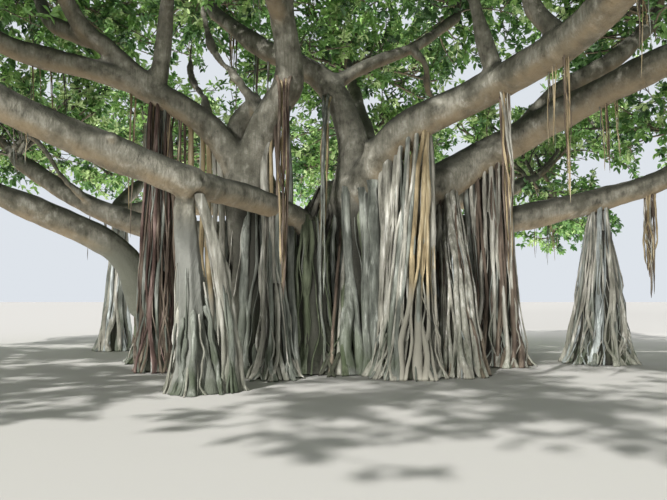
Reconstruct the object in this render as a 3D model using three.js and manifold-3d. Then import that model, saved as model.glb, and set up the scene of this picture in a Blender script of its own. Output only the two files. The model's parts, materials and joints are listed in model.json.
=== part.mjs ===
// Banyan tree: a fluted trunk of fused roots, spreading boughs, prop roots that stand as pillars, hanging
// aerial roots, and a broad crown in separate masses of foliage.
// Millimetres, +Z up. The origin is at ground level in the middle of the trunk, and the front faces -Y.

import * as THREE from "three";
import { mergeVertices } from "three/addons/utils/BufferGeometryUtils.js";
import Module from "manifold-3d";

const wasm = await Module();
wasm.setup();

// Fits between pieces
const GAP = 0.3; // between two pieces that meet
const CUT_ALLOWANCE = 0.5; // added to the radius of a piece that trims its neighbour
const BELOW_GROUND = 200; // roots are drawn this far down, then cut flat at the ground

const SAME_PLACE = 0.001; // corners this close are one

// Limbs and twigs as meshes
const SPINE_STEPS = 48; // frames along each limb
const LIMB_SIDES = 8;
const LIMB_RINGS = 5;
const COLLAR_RINGS = 2;
const STEM_SIDES = 4;
const FLARE = 0.25; // how much wider a limb is where it leaves its parent
const FLARE_LENGTH = 600;

// Fluted columns, with shares of their height
const RIDGE_SIDES = 2; // for each ridge
const COLUMN_HEIGHTS = [0, 0.07, 0.3, 0.65, 1];
const COLUMN_LEAN = 1.3; // for one with no lean of its own: upright near the foot, leaning more above
const KNEE = 0.3; // where the flare of the foot ends
const FOOT_FLARE = 0.6;
const GROOVE_DEPTH = 0.13; // of the radius, on both sides of its mean
const GROOVE_FADE = 0.35; // how much shallower the grooves are at the head

// Hanging roots
const HANGING_SIDES = 6;
const HANGING_GIRTHS = [0.75, 1, 1.1, 0.8]; // along the root, as shares of its girth

// Crown
const MASS_REACH = new THREE.Vector3(5400, 5400, 3400); // half sizes of each mass
const FLOOR_MIDDLE = 8600; // height of the crown's underside above the trunk
const FLOOR_DROP = 3900; // how much lower the underside is at FLOOR_RADIUS
const FLOOR_RADIUS = 15000;
const FLOOR_POWER = 1.5;
const SPACE_MARGIN = 0.012; // kept between the spaces of two masses, as a share of the reach squared
const LENGTH_COST = 0.35; // how much a twig prefers to start near the foot of its parent
const STEM_SHARE = 0.45; // of the way from the bough's tip to the middle of the mass
const STEM_END = 150; // radius
const STEM_PLACES = 8; // from which main twigs may start
// Main twigs leave the stem and side twigs leave the main ones. Each ends in a spray of leaves.
// most is how many are kept, shell is where they may end, and girth is the radius at both ends of the stalk.
const MAIN_TWIGS = { most: 4, shell: [0.5, 0.98], girth: [85, 55], starts: 6, stream: 40 };
const SIDE_TWIGS = { most: 8, shell: [0.2, 0.98], girth: [22, 16], starts: 0, stream: 400 };
const MOST_TRIES = 4000;
const MOST_TARGETS = 60;
const TARGET_BASES = [2, 3, 5]; // of the Halton sequences that spread the targets along X, Y and Z
const MASS_STRIDE = 37; // numbers of the sequence from one mass to the next
const SHORTEST_TWIG = 1200;
const SPRAY_LENGTH = 2700;
const SPRAY_WIDEST = 0.55; // place of its widest point, as a share of its length
const SPRAY_HALF_WIDTH = 0.36; // as a share of its length
const SPRAY_KEEL = 0.05; // thickness, as a share of its length
const SPRAY_TILT = 0.5; // radians, at most, to either side
const TILT_STEP = 2.4;
const TWIG_SIDES = 3;
const NEARLY_UPRIGHT = 0.05; // level share of a twig's direction

// The trunk is a fluted core with fluted columns round it. A column leans from its foot to its head.
// girth is its radius at the ground, at knee height and at its head.
const TRUNK_COLUMNS = [
  { foot: [0, 300], head: [250, 350, 4650], girth: [2300, 1750, 620], ridges: 11, twist: 0.2 },
  { foot: [-1780, -880], head: [-1900, -1250, 4450], girth: [1080, 820, 470], ridges: 8, twist: 0.5 },
  { foot: [-450, -1150], head: [-560, -1560, 3450], girth: [620, 420, 300], ridges: 6, twist: 0.3 },
  { foot: [620, -620], head: [500, -800, 4250], girth: [1000, 720, 500], ridges: 7, twist: -0.4 },
  { foot: [2250, 0], head: [2250, -350, 4300], girth: [1150, 820, 480], ridges: 8, twist: 0.4 },
  { foot: [-1650, 1450], head: [-1750, 1350, 4300], girth: [1200, 850, 480], ridges: 7, twist: -0.5 },
  { foot: [1050, 1850], head: [950, 1700, 4500], girth: [1250, 900, 560], ridges: 8, twist: 0.3 },
  { foot: [-900, 500], head: [-1000, 300, 4700], girth: [950, 700, 430], ridges: 6, twist: 0.3 },
];

// Each limb runs through its points, from its parent to its tip. girth is its radius at its first and last
// point, and collar is the length at its start that is fused to the parent. The last limb links the front left
// pillar back to the trunk.
const LIMBS = [
  {
    name: "bough_left_high", parent: "trunk", girth: [330, 200], collar: 700,
    at: [
      [-1850, -1300, 4150], [-2860, -1500, 5490], [-4720, -1700, 6490],
      [-7080, -2300, 7060], [-7900, -3000, 7900],
    ],
  },
  {
    name: "bough_centre_upright", parent: "trunk", girth: [380, 240], collar: 700,
    at: [
      [-1950, -1350, 4150], [-1530, -1500, 5490], [-1000, -1600, 6500],
      [-1150, -1900, 8180], [-900, -3300, 9500],
    ],
  },
  {
    name: "bough_centre_bent", parent: "trunk", girth: [400, 190], collar: 700,
    at: [
      [420, -780, 3900], [440, -500, 5400], [-200, -200, 6900],
      [-1720, 100, 7850], [-3200, 1200, 9300],
    ],
  },
  {
    name: "bough_right_high", parent: "trunk", girth: [420, 270], collar: 650,
    at: [
      [700, -900, 4100], [1450, -1650, 5180], [3250, -2450, 6010],
      [4290, -4500, 6280], [4900, -7300, 6900],
    ],
  },
  {
    name: "bough_right_middle", parent: "trunk", girth: [450, 250], collar: 700,
    at: [
      [2250, -400, 4200], [3500, -100, 4950], [4600, -800, 5520],
      [6450, -3200, 6270], [8300, -4100, 6900],
    ],
  },
  {
    name: "bough_right_low", parent: "trunk", girth: [400, 230], collar: 900,
    at: [
      [2500, 500, 3150], [4140, 800, 3550], [6930, 1000, 4190],
      [8440, 700, 4680], [9700, 1000, 5500],
    ],
  },
  {
    name: "bough_left_back", parent: "trunk", girth: [380, 220], collar: 900,
    at: [[-2000, 1200, 3300], [-4300, 1600, 3420], [-6250, 1500, 4000], [-8700, 2200, 5400]],
  },
  {
    name: "bough_back_left", parent: "trunk", girth: [380, 210], collar: 700,
    at: [[-1750, 1450, 4150], [-4300, 3400, 4450], [-7000, 5250, 4550], [-7000, 7000, 5600]],
  },
  {
    name: "bough_back", parent: "trunk", girth: [400, 220], collar: 700,
    at: [[850, 1850, 4300], [500, 4300, 5300], [700, 6500, 5900], [1000, 8600, 6500]],
  },
  {
    name: "bough_back_right", parent: "trunk", girth: [400, 220], collar: 700,
    at: [[1150, 1750, 4200], [3300, 3600, 4650], [5000, 5200, 4900], [6700, 6700, 5700]],
  },
  {
    name: "bough_back_high", parent: "trunk", girth: [340, 200], collar: 700,
    at: [[900, 1650, 4300], [1000, 2900, 6000], [800, 4300, 7600], [600, 5300, 8900]],
  },
  {
    name: "bough_left_front", parent: "pillar_front_left", girth: [300, 250], collar: 480,
    at: [[-2450, -4250, 3640], [-3480, -4700, 3990], [-5320, -5500, 4740], [-7300, -6500, 5900]],
  },
  {
    name: "bough_left_low", parent: "stem_left", girth: [400, 230], collar: 600,
    at: [[-4750, 1050, 1500], [-5500, 800, 2820], [-7200, -100, 3780], [-9500, -1000, 4700]],
  },
  {
    name: "limb_left_upright", parent: "bough_left_high", girth: [190, 140], collar: 420,
    at: [[-3950, -1620, 6150], [-3800, -1600, 7200], [-3600, -1950, 8800]],
  },
  {
    name: "limb_left_arched", parent: "bough_left_high", girth: [230, 140], collar: 850,
    at: [
      [-4150, -1640, 6350], [-4900, -1700, 7050], [-5500, -1850, 7550],
      [-5850, -2300, 8300], [-5800, -3400, 9300],
    ],
  },
  {
    name: "limb_left_outer", parent: "limb_left_arched", girth: [170, 130], collar: 450,
    at: [[-5100, -1750, 7230], [-6300, -1500, 7800], [-7050, -700, 8800]],
  },
  {
    name: "limb_front_over", parent: "bough_centre_upright", girth: [200, 150], collar: 700,
    at: [[-1120, -1750, 7800], [-1450, -3300, 8350], [-1900, -7600, 9000]],
  },
  {
    name: "limb_right_crossing", parent: "bough_centre_bent", girth: [160, 120], collar: 450,
    at: [[-150, -215, 6800], [1000, 200, 7550], [2130, 600, 8150], [3300, 1300, 9200]],
  },
  {
    name: "limb_right_upright", parent: "bough_right_high", girth: [170, 130], collar: 480,
    at: [[3400, -2600, 6030], [3130, -2500, 7130], [2750, -2300, 9100]],
  },
  {
    name: "limb_right_front", parent: "bough_right_high", girth: [160, 120], collar: 480,
    at: [[4220, -4250, 6280], [3750, -3800, 7200], [3550, -4600, 8500]],
  },
  {
    name: "limb_right_upper", parent: "bough_right_middle", girth: [260, 160], collar: 850,
    at: [[4350, -620, 5400], [5100, -900, 6300], [6350, -1300, 7050], [7400, -1100, 8000]],
  },
  {
    name: "bough_left_link", parent: "pillar_front_left", girth: [265, 235], collar: 450,
    at: [[-2450, -4250, 3640], [-1650, -2950, 3600], [-750, -1650, 3350], [-560, -1500, 3150]],
  },
];

// Roots that reach the ground. girth is the radius at the ground, at knee height and at the head.
const PILLARS = [
  {
    name: "pillar_front_left",
    foot: [-2400, -4100], head: [-2680, -4270, 3750], girth: [570, 330, 190], ridges: 7, twist: 0.3,
  },
  {
    name: "root_front_left",
    foot: [-1860, -4050], head: [-2370, -4330, 3450], girth: [270, 140, 110], ridges: 4, twist: -0.3,
    lean: 2.3,
  },
  {
    name: "stem_left",
    foot: [-4550, 1150], head: [-4650, 1450, 3400], girth: [760, 520, 380], ridges: 8, twist: -0.3,
  },
  {
    name: "roots_red_curtain",
    foot: [-4000, -900], head: [-3930, -1510, 6120], girth: [450, 370, 140], ridges: 9, twist: 0.6,
  },
  {
    name: "roots_middle_front",
    foot: [-1200, -2250], head: [-1150, -2450, 3500], girth: [520, 250, 160], ridges: 8, twist: -0.5,
  },
  {
    name: "roots_right_front",
    foot: [1550, -1950], head: [1750, -1850, 5300], girth: [820, 520, 330], ridges: 11, twist: 0.4,
  },
  {
    name: "roots_right_forked",
    foot: [2700, -1750], head: [2750, -350, 4500], girth: [560, 380, 200], ridges: 8, twist: -0.4,
  },
  {
    name: "roots_right_cluster",
    foot: [4050, 500], head: [3750, -150, 5000], girth: [820, 520, 330], ridges: 10, twist: 0.4,
  },
  {
    name: "pillar_right",
    foot: [6800, 1050], head: [6930, 1000, 4150], girth: [930, 620, 340], ridges: 13, twist: 0.5,
  },
  {
    name: "pillar_back_left",
    foot: [-7000, 5200], head: [-6900, 5200, 4550], girth: [600, 330, 180], ridges: 9, twist: -0.4,
  },
  {
    name: "pillar_back_right",
    foot: [4700, 4950], head: [4750, 4980, 4850], girth: [760, 480, 300], ridges: 11, twist: 0.5,
  },
];

// Roots that hang free. They start at the head, in the bough, and end in a point at the tip.
const HANGING_ROOTS = [
  { name: "hanging_roots_middle", head: [-1080, -1850, 6450], tip: [-1000, -2950, 1600], girth: 100 },
  { name: "hanging_roots_centre", head: [-130, -420, 6500], tip: [-250, -2300, 1300], girth: 85 },
  { name: "hanging_roots_right", head: [3450, -2720, 6050], tip: [3480, -2900, 2100], girth: 120 },
  { name: "hanging_roots_front", head: [4190, -4300, 6250], tip: [4150, -4380, 3300], girth: 70 },
  { name: "hanging_roots_outer", head: [8100, 760, 4550], tip: [8050, 700, 1650], girth: 150 },
];

// Foliage: the middle of each mass, the limb that carries it, and how far it may hang below the crown's
// underside.
const MASSES = [
  { name: "foliage_left_high", limb: "bough_left_high", middle: [-8300, -3600, 10000] },
  { name: "foliage_front_high", limb: "bough_centre_upright", middle: [-800, -5600, 11400] },
  { name: "foliage_top_left", limb: "bough_centre_bent", middle: [-3600, 3300, 11900] },
  { name: "foliage_front_right", limb: "bough_right_high", middle: [5400, -9600, 7900] },
  { name: "foliage_right_front", limb: "bough_right_middle", middle: [11200, -4400, 7700] },
  { name: "foliage_right", limb: "bough_right_low", middle: [12000, 2400, 7000], droop: 1200 },
  { name: "foliage_left_back", limb: "bough_left_back", middle: [-11000, 4800, 7300] },
  { name: "foliage_back_left", limb: "bough_back_left", middle: [-6500, 9500, 7400] },
  { name: "foliage_back", limb: "bough_back", middle: [1200, 11400, 7500], droop: 300 },
  { name: "foliage_back_right", limb: "bough_back_right", middle: [8600, 8600, 6600], droop: 2400 },
  { name: "foliage_back_high", limb: "bough_back_high", middle: [500, 6900, 11000] },
  { name: "foliage_front_left", limb: "bough_left_front", middle: [-9300, -7500, 7400] },
  { name: "foliage_left", limb: "bough_left_low", middle: [-12300, -1200, 6700], droop: 200 },
  { name: "foliage_top_front_left", limb: "limb_left_upright", middle: [-3500, -1900, 11900] },
  { name: "foliage_high_front_left", limb: "limb_left_arched", middle: [-5400, -6600, 10400] },
  { name: "foliage_high_left", limb: "limb_left_outer", middle: [-7600, 1300, 10700] },
  { name: "foliage_front", limb: "limb_front_over", middle: [-2200, -10400, 8700] },
  { name: "foliage_top_right", limb: "limb_right_crossing", middle: [3500, 3000, 12000] },
  { name: "foliage_top_front_right", limb: "limb_right_upright", middle: [2500, -2200, 12200] },
  { name: "foliage_high_front_right", limb: "limb_right_front", middle: [4200, -6300, 10500] },
  { name: "foliage_high_right", limb: "limb_right_upper", middle: [8200, -200, 10500] },
];

const BARK = { color: 0x9b9181, roughness: 0.9, metalness: 0 };
const ROOT = { color: 0x8f8676, roughness: 0.92, metalness: 0 };
const RED_ROOT = { color: 0x7d5040, roughness: 0.92, metalness: 0 };
const LEAF = { color: 0x4f7d2c, roughness: 0.55, metalness: 0 };

const vector = (xyz) => new THREE.Vector3(...xyz);
const mix = THREE.MathUtils.lerp;

// A closed geometry as a solid.
function solidOf(geometry) {
  const bare = new THREE.BufferGeometry();
  bare.setAttribute("position", geometry.toNonIndexed().getAttribute("position"));
  const merged = mergeVertices(bare, SAME_PLACE);
  return new wasm.Manifold(
    new wasm.Mesh({
      numProp: 3,
      vertProperties: merged.attributes.position.array,
      triVerts: new Uint32Array(merged.index.array),
    }),
  );
}

// A solid as a named mesh.
function meshOf(name, solid, look) {
  const { vertProperties, triVerts, numProp } = solid.getMesh();
  const count = vertProperties.length / numProp;
  const positions = new Float32Array(count * 3);
  for (let i = 0; i < count; i += 1) {
    positions.set(vertProperties.subarray(i * numProp, i * numProp + 3), i * 3);
  }
  const geometry = new THREE.BufferGeometry();
  geometry.setAttribute("position", new THREE.BufferAttribute(positions, 3));
  geometry.setIndex(new THREE.BufferAttribute(new Uint32Array(triVerts), 1));
  geometry.computeVertexNormals();
  const mesh = new THREE.Mesh(geometry, new THREE.MeshStandardMaterial(look));
  mesh.name = name;
  return mesh;
}

// The largest of a solid's bodies.
function largest(solid) {
  return solid.decompose().reduce((a, b) => (b.volume() > a.volume() ? b : a));
}

function fused(solids) {
  return solids.length > 1 ? wasm.Manifold.union(solids) : solids[0];
}

// A cylinder whose rings and rays are put where place(ring, x, z) says. x and z are on the unit circle,
// or both 0 for the middle of a cap.
function bentCylinder(sides, rings, pointed, place) {
  const geometry = new THREE.CylinderGeometry(pointed ? 0 : 1, 1, 1, sides, rings);
  const position = geometry.getAttribute("position");
  for (let i = 0; i < position.count; i += 1) {
    const ring = Math.round((position.getY(i) + 0.5) * rings);
    const p = place(ring, position.getX(i), position.getZ(i));
    position.setXYZ(i, p.x, p.y, p.z);
  }
  return solidOf(geometry);
}

// Frames along a limb, each with its place, its directions and the limb's radius there.
function spineOf(limb) {
  const curve = new THREE.CatmullRomCurve3(limb.at.map(vector), false, "centripetal");
  curve.arcLengthDivisions = 400;
  const frames = curve.computeFrenetFrames(SPINE_STEPS, false);
  const length = curve.getLength();
  return frames.tangents.map((tangent, i) => {
    const share = i / SPINE_STEPS;
    const flare = 1 + FLARE * Math.exp((-share * length) / FLARE_LENGTH);
    return {
      middle: curve.getPointAt(share),
      tangent,
      normal: frames.normals[i],
      binormal: frames.binormals[i],
      along: share * length,
      radius: mix(limb.girth[0], limb.girth[1], share) * flare,
    };
  });
}

// The tube along a spine from one frame to another, its first ring moved on by start. Its sides and ends
// stand out by grow.
function tube(spine, first, last, sides, rings, start = 0, grow = 0) {
  return bentCylinder(sides, rings, false, (ring, x, z) => {
    const frame = spine[Math.round(mix(first, last, ring / rings))];
    const moved = { 0: start - grow, [rings]: grow }[ring] ?? 0;
    const p = frame.middle.clone().addScaledVector(frame.tangent, moved);
    const radius = frame.radius + grow;
    return p.addScaledVector(frame.normal, x * radius).addScaledVector(frame.binormal, -z * radius);
  });
}

const spines = new Map(LIMBS.map((limb) => [limb.name, spineOf(limb)]));

// The frame at which a limb leaves its collar.
function collarFrame(limb) {
  return spines.get(limb.name).findIndex((frame) => frame.along >= limb.collar);
}

// The collars that are fused to the piece with this name.
function collarsOn(parent, grow) {
  return LIMBS.filter((limb) => limb.parent === parent).map((limb) =>
    tube(spines.get(limb.name), 0, collarFrame(limb), LIMB_SIDES, COLLAR_RINGS, 0, grow),
  );
}

function limbSolid(limb, grow = 0) {
  const start = collarFrame(limb);
  const body = tube(spines.get(limb.name), start, SPINE_STEPS, LIMB_SIDES, LIMB_RINGS, GAP, grow);
  return fused([body, ...collarsOn(limb.name, grow)]);
}

// A fluted column with level rings, from below the ground to its head.
function column({ foot, head, girth, ridges, twist, lean = COLUMN_LEAN }, grow = 0) {
  const rings = COLUMN_HEIGHTS.length;
  return bentCylinder(ridges * RIDGE_SIDES, rings, false, (ring, x, z) => {
    const share = ring === 0 ? 0 : COLUMN_HEIGHTS[ring - 1];
    const leaning = share ** lean;
    const flare = mix(girth[0], girth[1], Math.min(1, share / KNEE) ** FOOT_FLARE);
    const radius = share < KNEE ? flare : mix(girth[1], girth[2], (share - KNEE) / (1 - KNEE));
    const angle = Math.atan2(x, z);
    const groove = 1 - GROOVE_DEPTH * (1 - GROOVE_FADE * share) * (1 - Math.cos(ridges * angle));
    const reach = x || z ? radius * groove + grow : 0;
    const turned = angle + twist * share;
    return new THREE.Vector3(
      mix(foot[0], head[0], leaning) + reach * Math.sin(turned),
      mix(foot[1], head[1], leaning) - reach * Math.cos(turned),
      ring === 0 ? -BELOW_GROUND : head[2] * share + (ring === rings ? grow : 0),
    );
  });
}

const cutAtGround = (solid) => solid.trimByPlane([0, 0, 1], 0);

function trunkSolid(grow = 0) {
  return fused([...TRUNK_COLUMNS.map((c) => column(c, grow)), ...collarsOn("trunk", grow)]);
}

function pillarSolid(pillar, grow = 0) {
  return fused([column(pillar, grow), ...collarsOn(pillar.name, grow)]);
}

// A root that hangs from its head to its pointed tip.
function hangingRoot({ head, tip, girth }) {
  const rings = HANGING_GIRTHS.length;
  return bentCylinder(HANGING_SIDES, rings, true, (ring, x, z) => {
    const share = ring / rings;
    const radius = ring < rings ? girth * HANGING_GIRTHS[ring] : 0;
    return new THREE.Vector3(
      mix(head[0], tip[0], share ** 0.5) - x * radius,
      mix(head[1], tip[1], share ** 0.5) - z * radius,
      mix(head[2], tip[2], share),
    );
  });
}

// The i-th number of the Halton sequence with this base.
function halton(i, base) {
  let value = 0;
  let share = 1;
  for (let rest = i; rest > 0; rest = Math.floor(rest / base)) {
    share /= base;
    value += share * (rest % base);
  }
  return value;
}

// How far a point is from the middle of a mass, squared, where 1 is on the outline of its ellipsoid.
function shareOf(p, mass) {
  const [x, y, z] = mass.middle;
  return ((p.x - x) / MASS_REACH.x) ** 2 + ((p.y - y) / MASS_REACH.y) ** 2 + ((p.z - z) / MASS_REACH.z) ** 2;
}

function floorAt(p) {
  return FLOOR_MIDDLE - FLOOR_DROP * (Math.hypot(p.x, p.y) / FLOOR_RADIUS) ** FLOOR_POWER;
}

// Whether a point is in a mass's own space: its ellipsoid, over the crown's underside, up to its neighbours.
function inSpace(p, mass) {
  const share = shareOf(p, mass);
  if (share > 1 || p.z < floorAt(p) - (mass.droop ?? 0)) return false;
  return MASSES.every((other) => other === mass || share < shareOf(p, other) - SPACE_MARGIN);
}

// Points that twigs grow towards, spread evenly through the mass's space.
function targetsIn(mass, level) {
  const found = [];
  const offset = level.stream + MASS_STRIDE * MASSES.indexOf(mass);
  for (let i = 1; i < MOST_TRIES && found.length < MOST_TARGETS; i += 1) {
    const unit = new THREE.Vector3(...TARGET_BASES.map((base) => 2 * halton(i + offset, base) - 1));
    const p = unit.multiply(MASS_REACH).add(vector(mass.middle));
    const share = shareOf(p, mass);
    if (share >= level.shell[0] && share <= level.shell[1] && inSpace(p, mass)) found.push(p);
  }
  return found;
}

// The place from which a twig reaches its target: near it, but not far up its parent.
function startFor(target, places) {
  const cost = (q) => q.p.distanceTo(target) + LENGTH_COST * q.along;
  return places.reduce((a, b) => (cost(b) < cost(a) ? b : a));
}

// Places along a straight stretch of a stem or twig, without its first one.
function placesAlong(on, start, end, count) {
  const length = start.p.distanceTo(end);
  return Array.from({ length: count }, (_, i) => {
    const share = (i + 1) / count;
    return { on, p: start.p.clone().lerp(end, share), along: start.along + share * length };
  }).slice(1);
}

// A level direction across a twig, or east where the twig is upright.
function sideways(along) {
  const side = new THREE.Vector3(-along.y, along.x, 0);
  return side.length() > NEARLY_UPRIGHT ? side.normalize() : new THREE.Vector3(1, 0, 0);
}

// A three-sided twig that ends in a spray of leaves: a keeled blade that widens and then ends in a point.
function twig(from, foot, to, girth, tilt) {
  const along = to.clone().sub(from).normalize();
  const side = sideways(along).applyAxisAngle(along, tilt);
  const under = side.clone().cross(along);
  const length = foot.distanceTo(to);
  const widest = foot.clone().lerp(to, SPRAY_WIDEST);
  const hasStalk = foot.distanceTo(from) > girth[0];
  const rings = hasStalk ? [from, foot, widest, to] : [from, widest, to];
  return bentCylinder(TWIG_SIDES, rings.length - 1, true, (ring, x, z) => {
    if (rings[ring] === to) return to;
    const p = rings[ring].clone();
    if (rings[ring] === widest) {
      const edge = Math.sign(Math.round(x * 10)) * length * SPRAY_HALF_WIDTH;
      return p.addScaledVector(side, edge).addScaledVector(under, z > 0 ? length * SPRAY_KEEL : 0);
    }
    const radius = girth[ring];
    return p.addScaledVector(side, x * radius).addScaledVector(under, z * radius);
  });
}

function boxesMeet(a, b) {
  const [p, q] = [a.boundingBox(), b.boundingBox()];
  return [0, 1, 2].every((k) => p.min[k] <= q.max[k] && q.min[k] <= p.max[k]);
}

// What is left of a piece when its neighbours' cutters have trimmed it.
function clearOf(solid, cutters) {
  const trim = (left, cutter) => (boxesMeet(left, cutter) ? left.subtract(cutter) : left);
  return largest(cutters.reduce(trim, solid));
}

function touches(solid, others) {
  return others.some((other) => boxesMeet(solid, other) && !solid.intersect(other).isEmpty());
}

// Whether the part of a twig that bears leaves keeps to the mass's space. The tip is its target, which does.
function sprayInSpace(solid, foot, target, mass) {
  const along = target.clone().sub(foot).normalize();
  const { vertProperties, numProp } = solid.getMesh();
  for (let i = 0; i < vertProperties.length; i += numProp) {
    const p = new THREE.Vector3(...vertProperties.subarray(i, i + 3));
    const onSpray = p.clone().sub(foot).dot(along) > MAIN_TWIGS.girth[0];
    if (onSpray && !inSpace(p, mass)) return false;
  }
  return true;
}

// A mass of foliage: a stem from the bough's tip, main twigs and side twigs. What leaves the mass's space or
// touches a limb, another mass or another spray is left out.
function massSolid(mass, obstacles) {
  const tip = spines.get(mass.limb)[SPINE_STEPS];
  const start = tip.middle.clone().addScaledVector(tip.tangent, GAP);
  const bend = start.clone().addScaledVector(tip.tangent, tip.radius * 2);
  const hub = bend.clone().lerp(vector(mass.middle), STEM_SHARE);
  const ends = [start, bend, hub];
  const radii = [tip.radius, tip.radius * 0.9, STEM_END];
  const stem = bentCylinder(STEM_SIDES, 2, false, (ring, x, z) => {
    const p = ends[ring].clone();
    return p.addScaledVector(tip.normal, x * radii[ring]).addScaledVector(tip.binormal, -z * radii[ring]);
  });
  const twigs = [];
  let places = placesAlong(stem, { p: bend, along: 0 }, hub, STEM_PLACES);
  for (const level of [MAIN_TWIGS, SIDE_TWIGS]) {
    const added = [];
    const most = twigs.length + level.most;
    for (const target of targetsIn(mass, level)) {
      const from = startFor(target, places);
      if (from.p.distanceTo(target) < SHORTEST_TWIG) continue;
      const foot = target.clone().lerp(from.p, Math.min(1, SPRAY_LENGTH / from.p.distanceTo(target)));
      const tilt = SPRAY_TILT * Math.sin(twigs.length * TILT_STEP);
      const solid = twig(from.p, foot, target, level.girth, tilt);
      const rest = twigs.filter((other) => other !== from.on);
      if (!sprayInSpace(solid, foot, target, mass) || touches(solid, [...obstacles, ...rest])) continue;
      twigs.push(solid);
      places = places.filter((place) => place !== from);
      added.push(...placesAlong(solid, from, foot, level.starts));
      if (twigs.length === most || !places.length) break;
    }
    places.push(...added);
  }
  return largest(fused([stem, ...twigs]));
}

const tree = new THREE.Group();
const trunk = cutAtGround(trunkSolid());
const trunkCutter = trunkSolid(CUT_ALLOWANCE);
tree.add(meshOf("trunk", trunk, BARK));

const wood = [trunkCutter];
for (const limb of LIMBS) {
  tree.add(meshOf(limb.name, clearOf(limbSolid(limb), wood), BARK));
  wood.push(limbSolid(limb, CUT_ALLOWANCE));
}

for (const pillar of PILLARS) {
  const solid = cutAtGround(clearOf(pillarSolid(pillar), wood));
  tree.add(meshOf(pillar.name, solid, pillar.name === "roots_red_curtain" ? RED_ROOT : ROOT));
  wood.push(pillarSolid(pillar, CUT_ALLOWANCE));
}

for (const root of HANGING_ROOTS) {
  const solid = clearOf(hangingRoot(root), wood);
  tree.add(meshOf(root.name, solid, ROOT));
  wood.push(solid);
}

const grown = [];
for (const mass of MASSES) {
  const solid = massSolid(mass, [...wood, ...grown]);
  grown.push(solid);
  tree.add(meshOf(mass.name, solid, LEAF));
}

export default tree;
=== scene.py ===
# Banyan tree: fused bark, strands of aerial roots, twigs and leaves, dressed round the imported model.
# Metres, +Z up. The origin is at ground level in the middle of the trunk, and the front faces -Y.

import itertools
import json
import math
from dataclasses import dataclass

import bmesh
import bpy
import numpy as np
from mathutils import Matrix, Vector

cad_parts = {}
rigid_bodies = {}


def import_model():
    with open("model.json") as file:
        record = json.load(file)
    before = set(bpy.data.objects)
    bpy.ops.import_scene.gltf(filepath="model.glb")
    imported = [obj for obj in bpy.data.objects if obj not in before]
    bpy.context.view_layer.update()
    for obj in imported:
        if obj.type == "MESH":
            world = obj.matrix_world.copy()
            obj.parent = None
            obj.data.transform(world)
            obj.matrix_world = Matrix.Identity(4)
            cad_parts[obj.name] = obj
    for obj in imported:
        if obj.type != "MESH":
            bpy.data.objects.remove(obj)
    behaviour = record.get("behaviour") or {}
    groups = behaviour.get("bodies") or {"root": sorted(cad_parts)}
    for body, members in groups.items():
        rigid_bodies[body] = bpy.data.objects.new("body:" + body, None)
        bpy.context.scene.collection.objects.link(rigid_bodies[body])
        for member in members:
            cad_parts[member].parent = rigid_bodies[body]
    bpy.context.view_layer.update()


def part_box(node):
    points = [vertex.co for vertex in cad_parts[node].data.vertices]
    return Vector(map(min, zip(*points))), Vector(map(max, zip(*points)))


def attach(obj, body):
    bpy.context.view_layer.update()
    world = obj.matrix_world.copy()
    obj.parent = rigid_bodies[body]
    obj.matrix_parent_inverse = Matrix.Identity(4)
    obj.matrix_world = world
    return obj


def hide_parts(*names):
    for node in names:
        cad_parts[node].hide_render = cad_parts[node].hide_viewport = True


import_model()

# Camera, at the photograph's viewing angle
CAMERA_PLACE = (0, -15.5, 1.6)
CAMERA_PITCH = 4.47  # degrees above level
CAMERA_LENS = 34.54
SENSOR_WIDTH = 36
VIEW_DEPTH = 500

# Limbs and columns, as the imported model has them
SPINE_STEPS = 48
CURVE_STEPS = 120  # between two points of a limb
FLARE = 0.25  # how much wider a limb is where it leaves its parent
FLARE_LENGTH = 0.6
KNEE = 0.3  # share of a column's height at which its foot has narrowed
FOOT_FLARE = 0.6
GROOVE_DEPTH = 0.13
GROOVE_FADE = 0.35
HANGING_GIRTHS = (0.75, 1, 1.1, 0.8, 0.35)  # a hanging bundle's width, from its head to its tip

# Crown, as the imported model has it
MASS_REACH = np.array([5.4, 5.4, 3.4])
FLOOR_MIDDLE = 8.6  # height of the crown's underside in the middle
FLOOR_DROP = 3.9
FLOOR_RADIUS = 15.0
FLOOR_POWER = 1.5
LENGTH_COST = 0.35  # how much the way back to the stem counts when a twig looks for its parent
STEM_SHARE = 0.45  # how far a stem runs towards the middle of its mass
STEM_LEAD = 2  # how far ahead of its limb a stem bends, in radii of the limb
STEM_TAPER = 0.8
TARGET_BASES = (2, 3, 5)  # of the sequence that spreads the twigs' targets, along each axis
MOST_TRIES = 4000
MASS_STRIDE = 37  # from one mass's start in the sequence to the next one's

# Fused wood
VOXEL = 0.06
FINE_VOXEL = 0.045
BELOW_GROUND = 0.3  # how far columns run down before the wood is cut at the ground
LIMB_SIDES = 20
BRANCH_SIDES = 10
BRANCH_GIRTH = (0.13, 0.05)
STEM_STEPS = 14
STEM_TIP = 0.075  # radius where a stem ends among its twigs
TAIL_LENGTH = 1.3  # how far a bough runs down inside the trunk, so that it grows out of it without a step
TAIL_FLOOR = 0.1
TAIL_STEPS = 8
TAIL_TIP = 0.45  # of the bough's radius
BEND_LENGTH = 0.8  # of each limb, where one runs on into another
COLUMN_RINGS = 26
SIDES_PER_RIDGE = 8
HEAD_DOME = ((0.93, 0.12), (0.7, 0.24), (0.35, 0.3))  # rings of a column's round head, in its radii
KNOT_SHARES = (0, 0.6, 0.9, 1.0)
KNOT_GIRTHS = (1.3, 1.15, 1.0, 0.7)
SMOOTHINGS = 14
SMOOTH_IN = 0.5
SMOOTH_OUT = -0.52
MOST_TRIANGLES = 190_000

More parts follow.
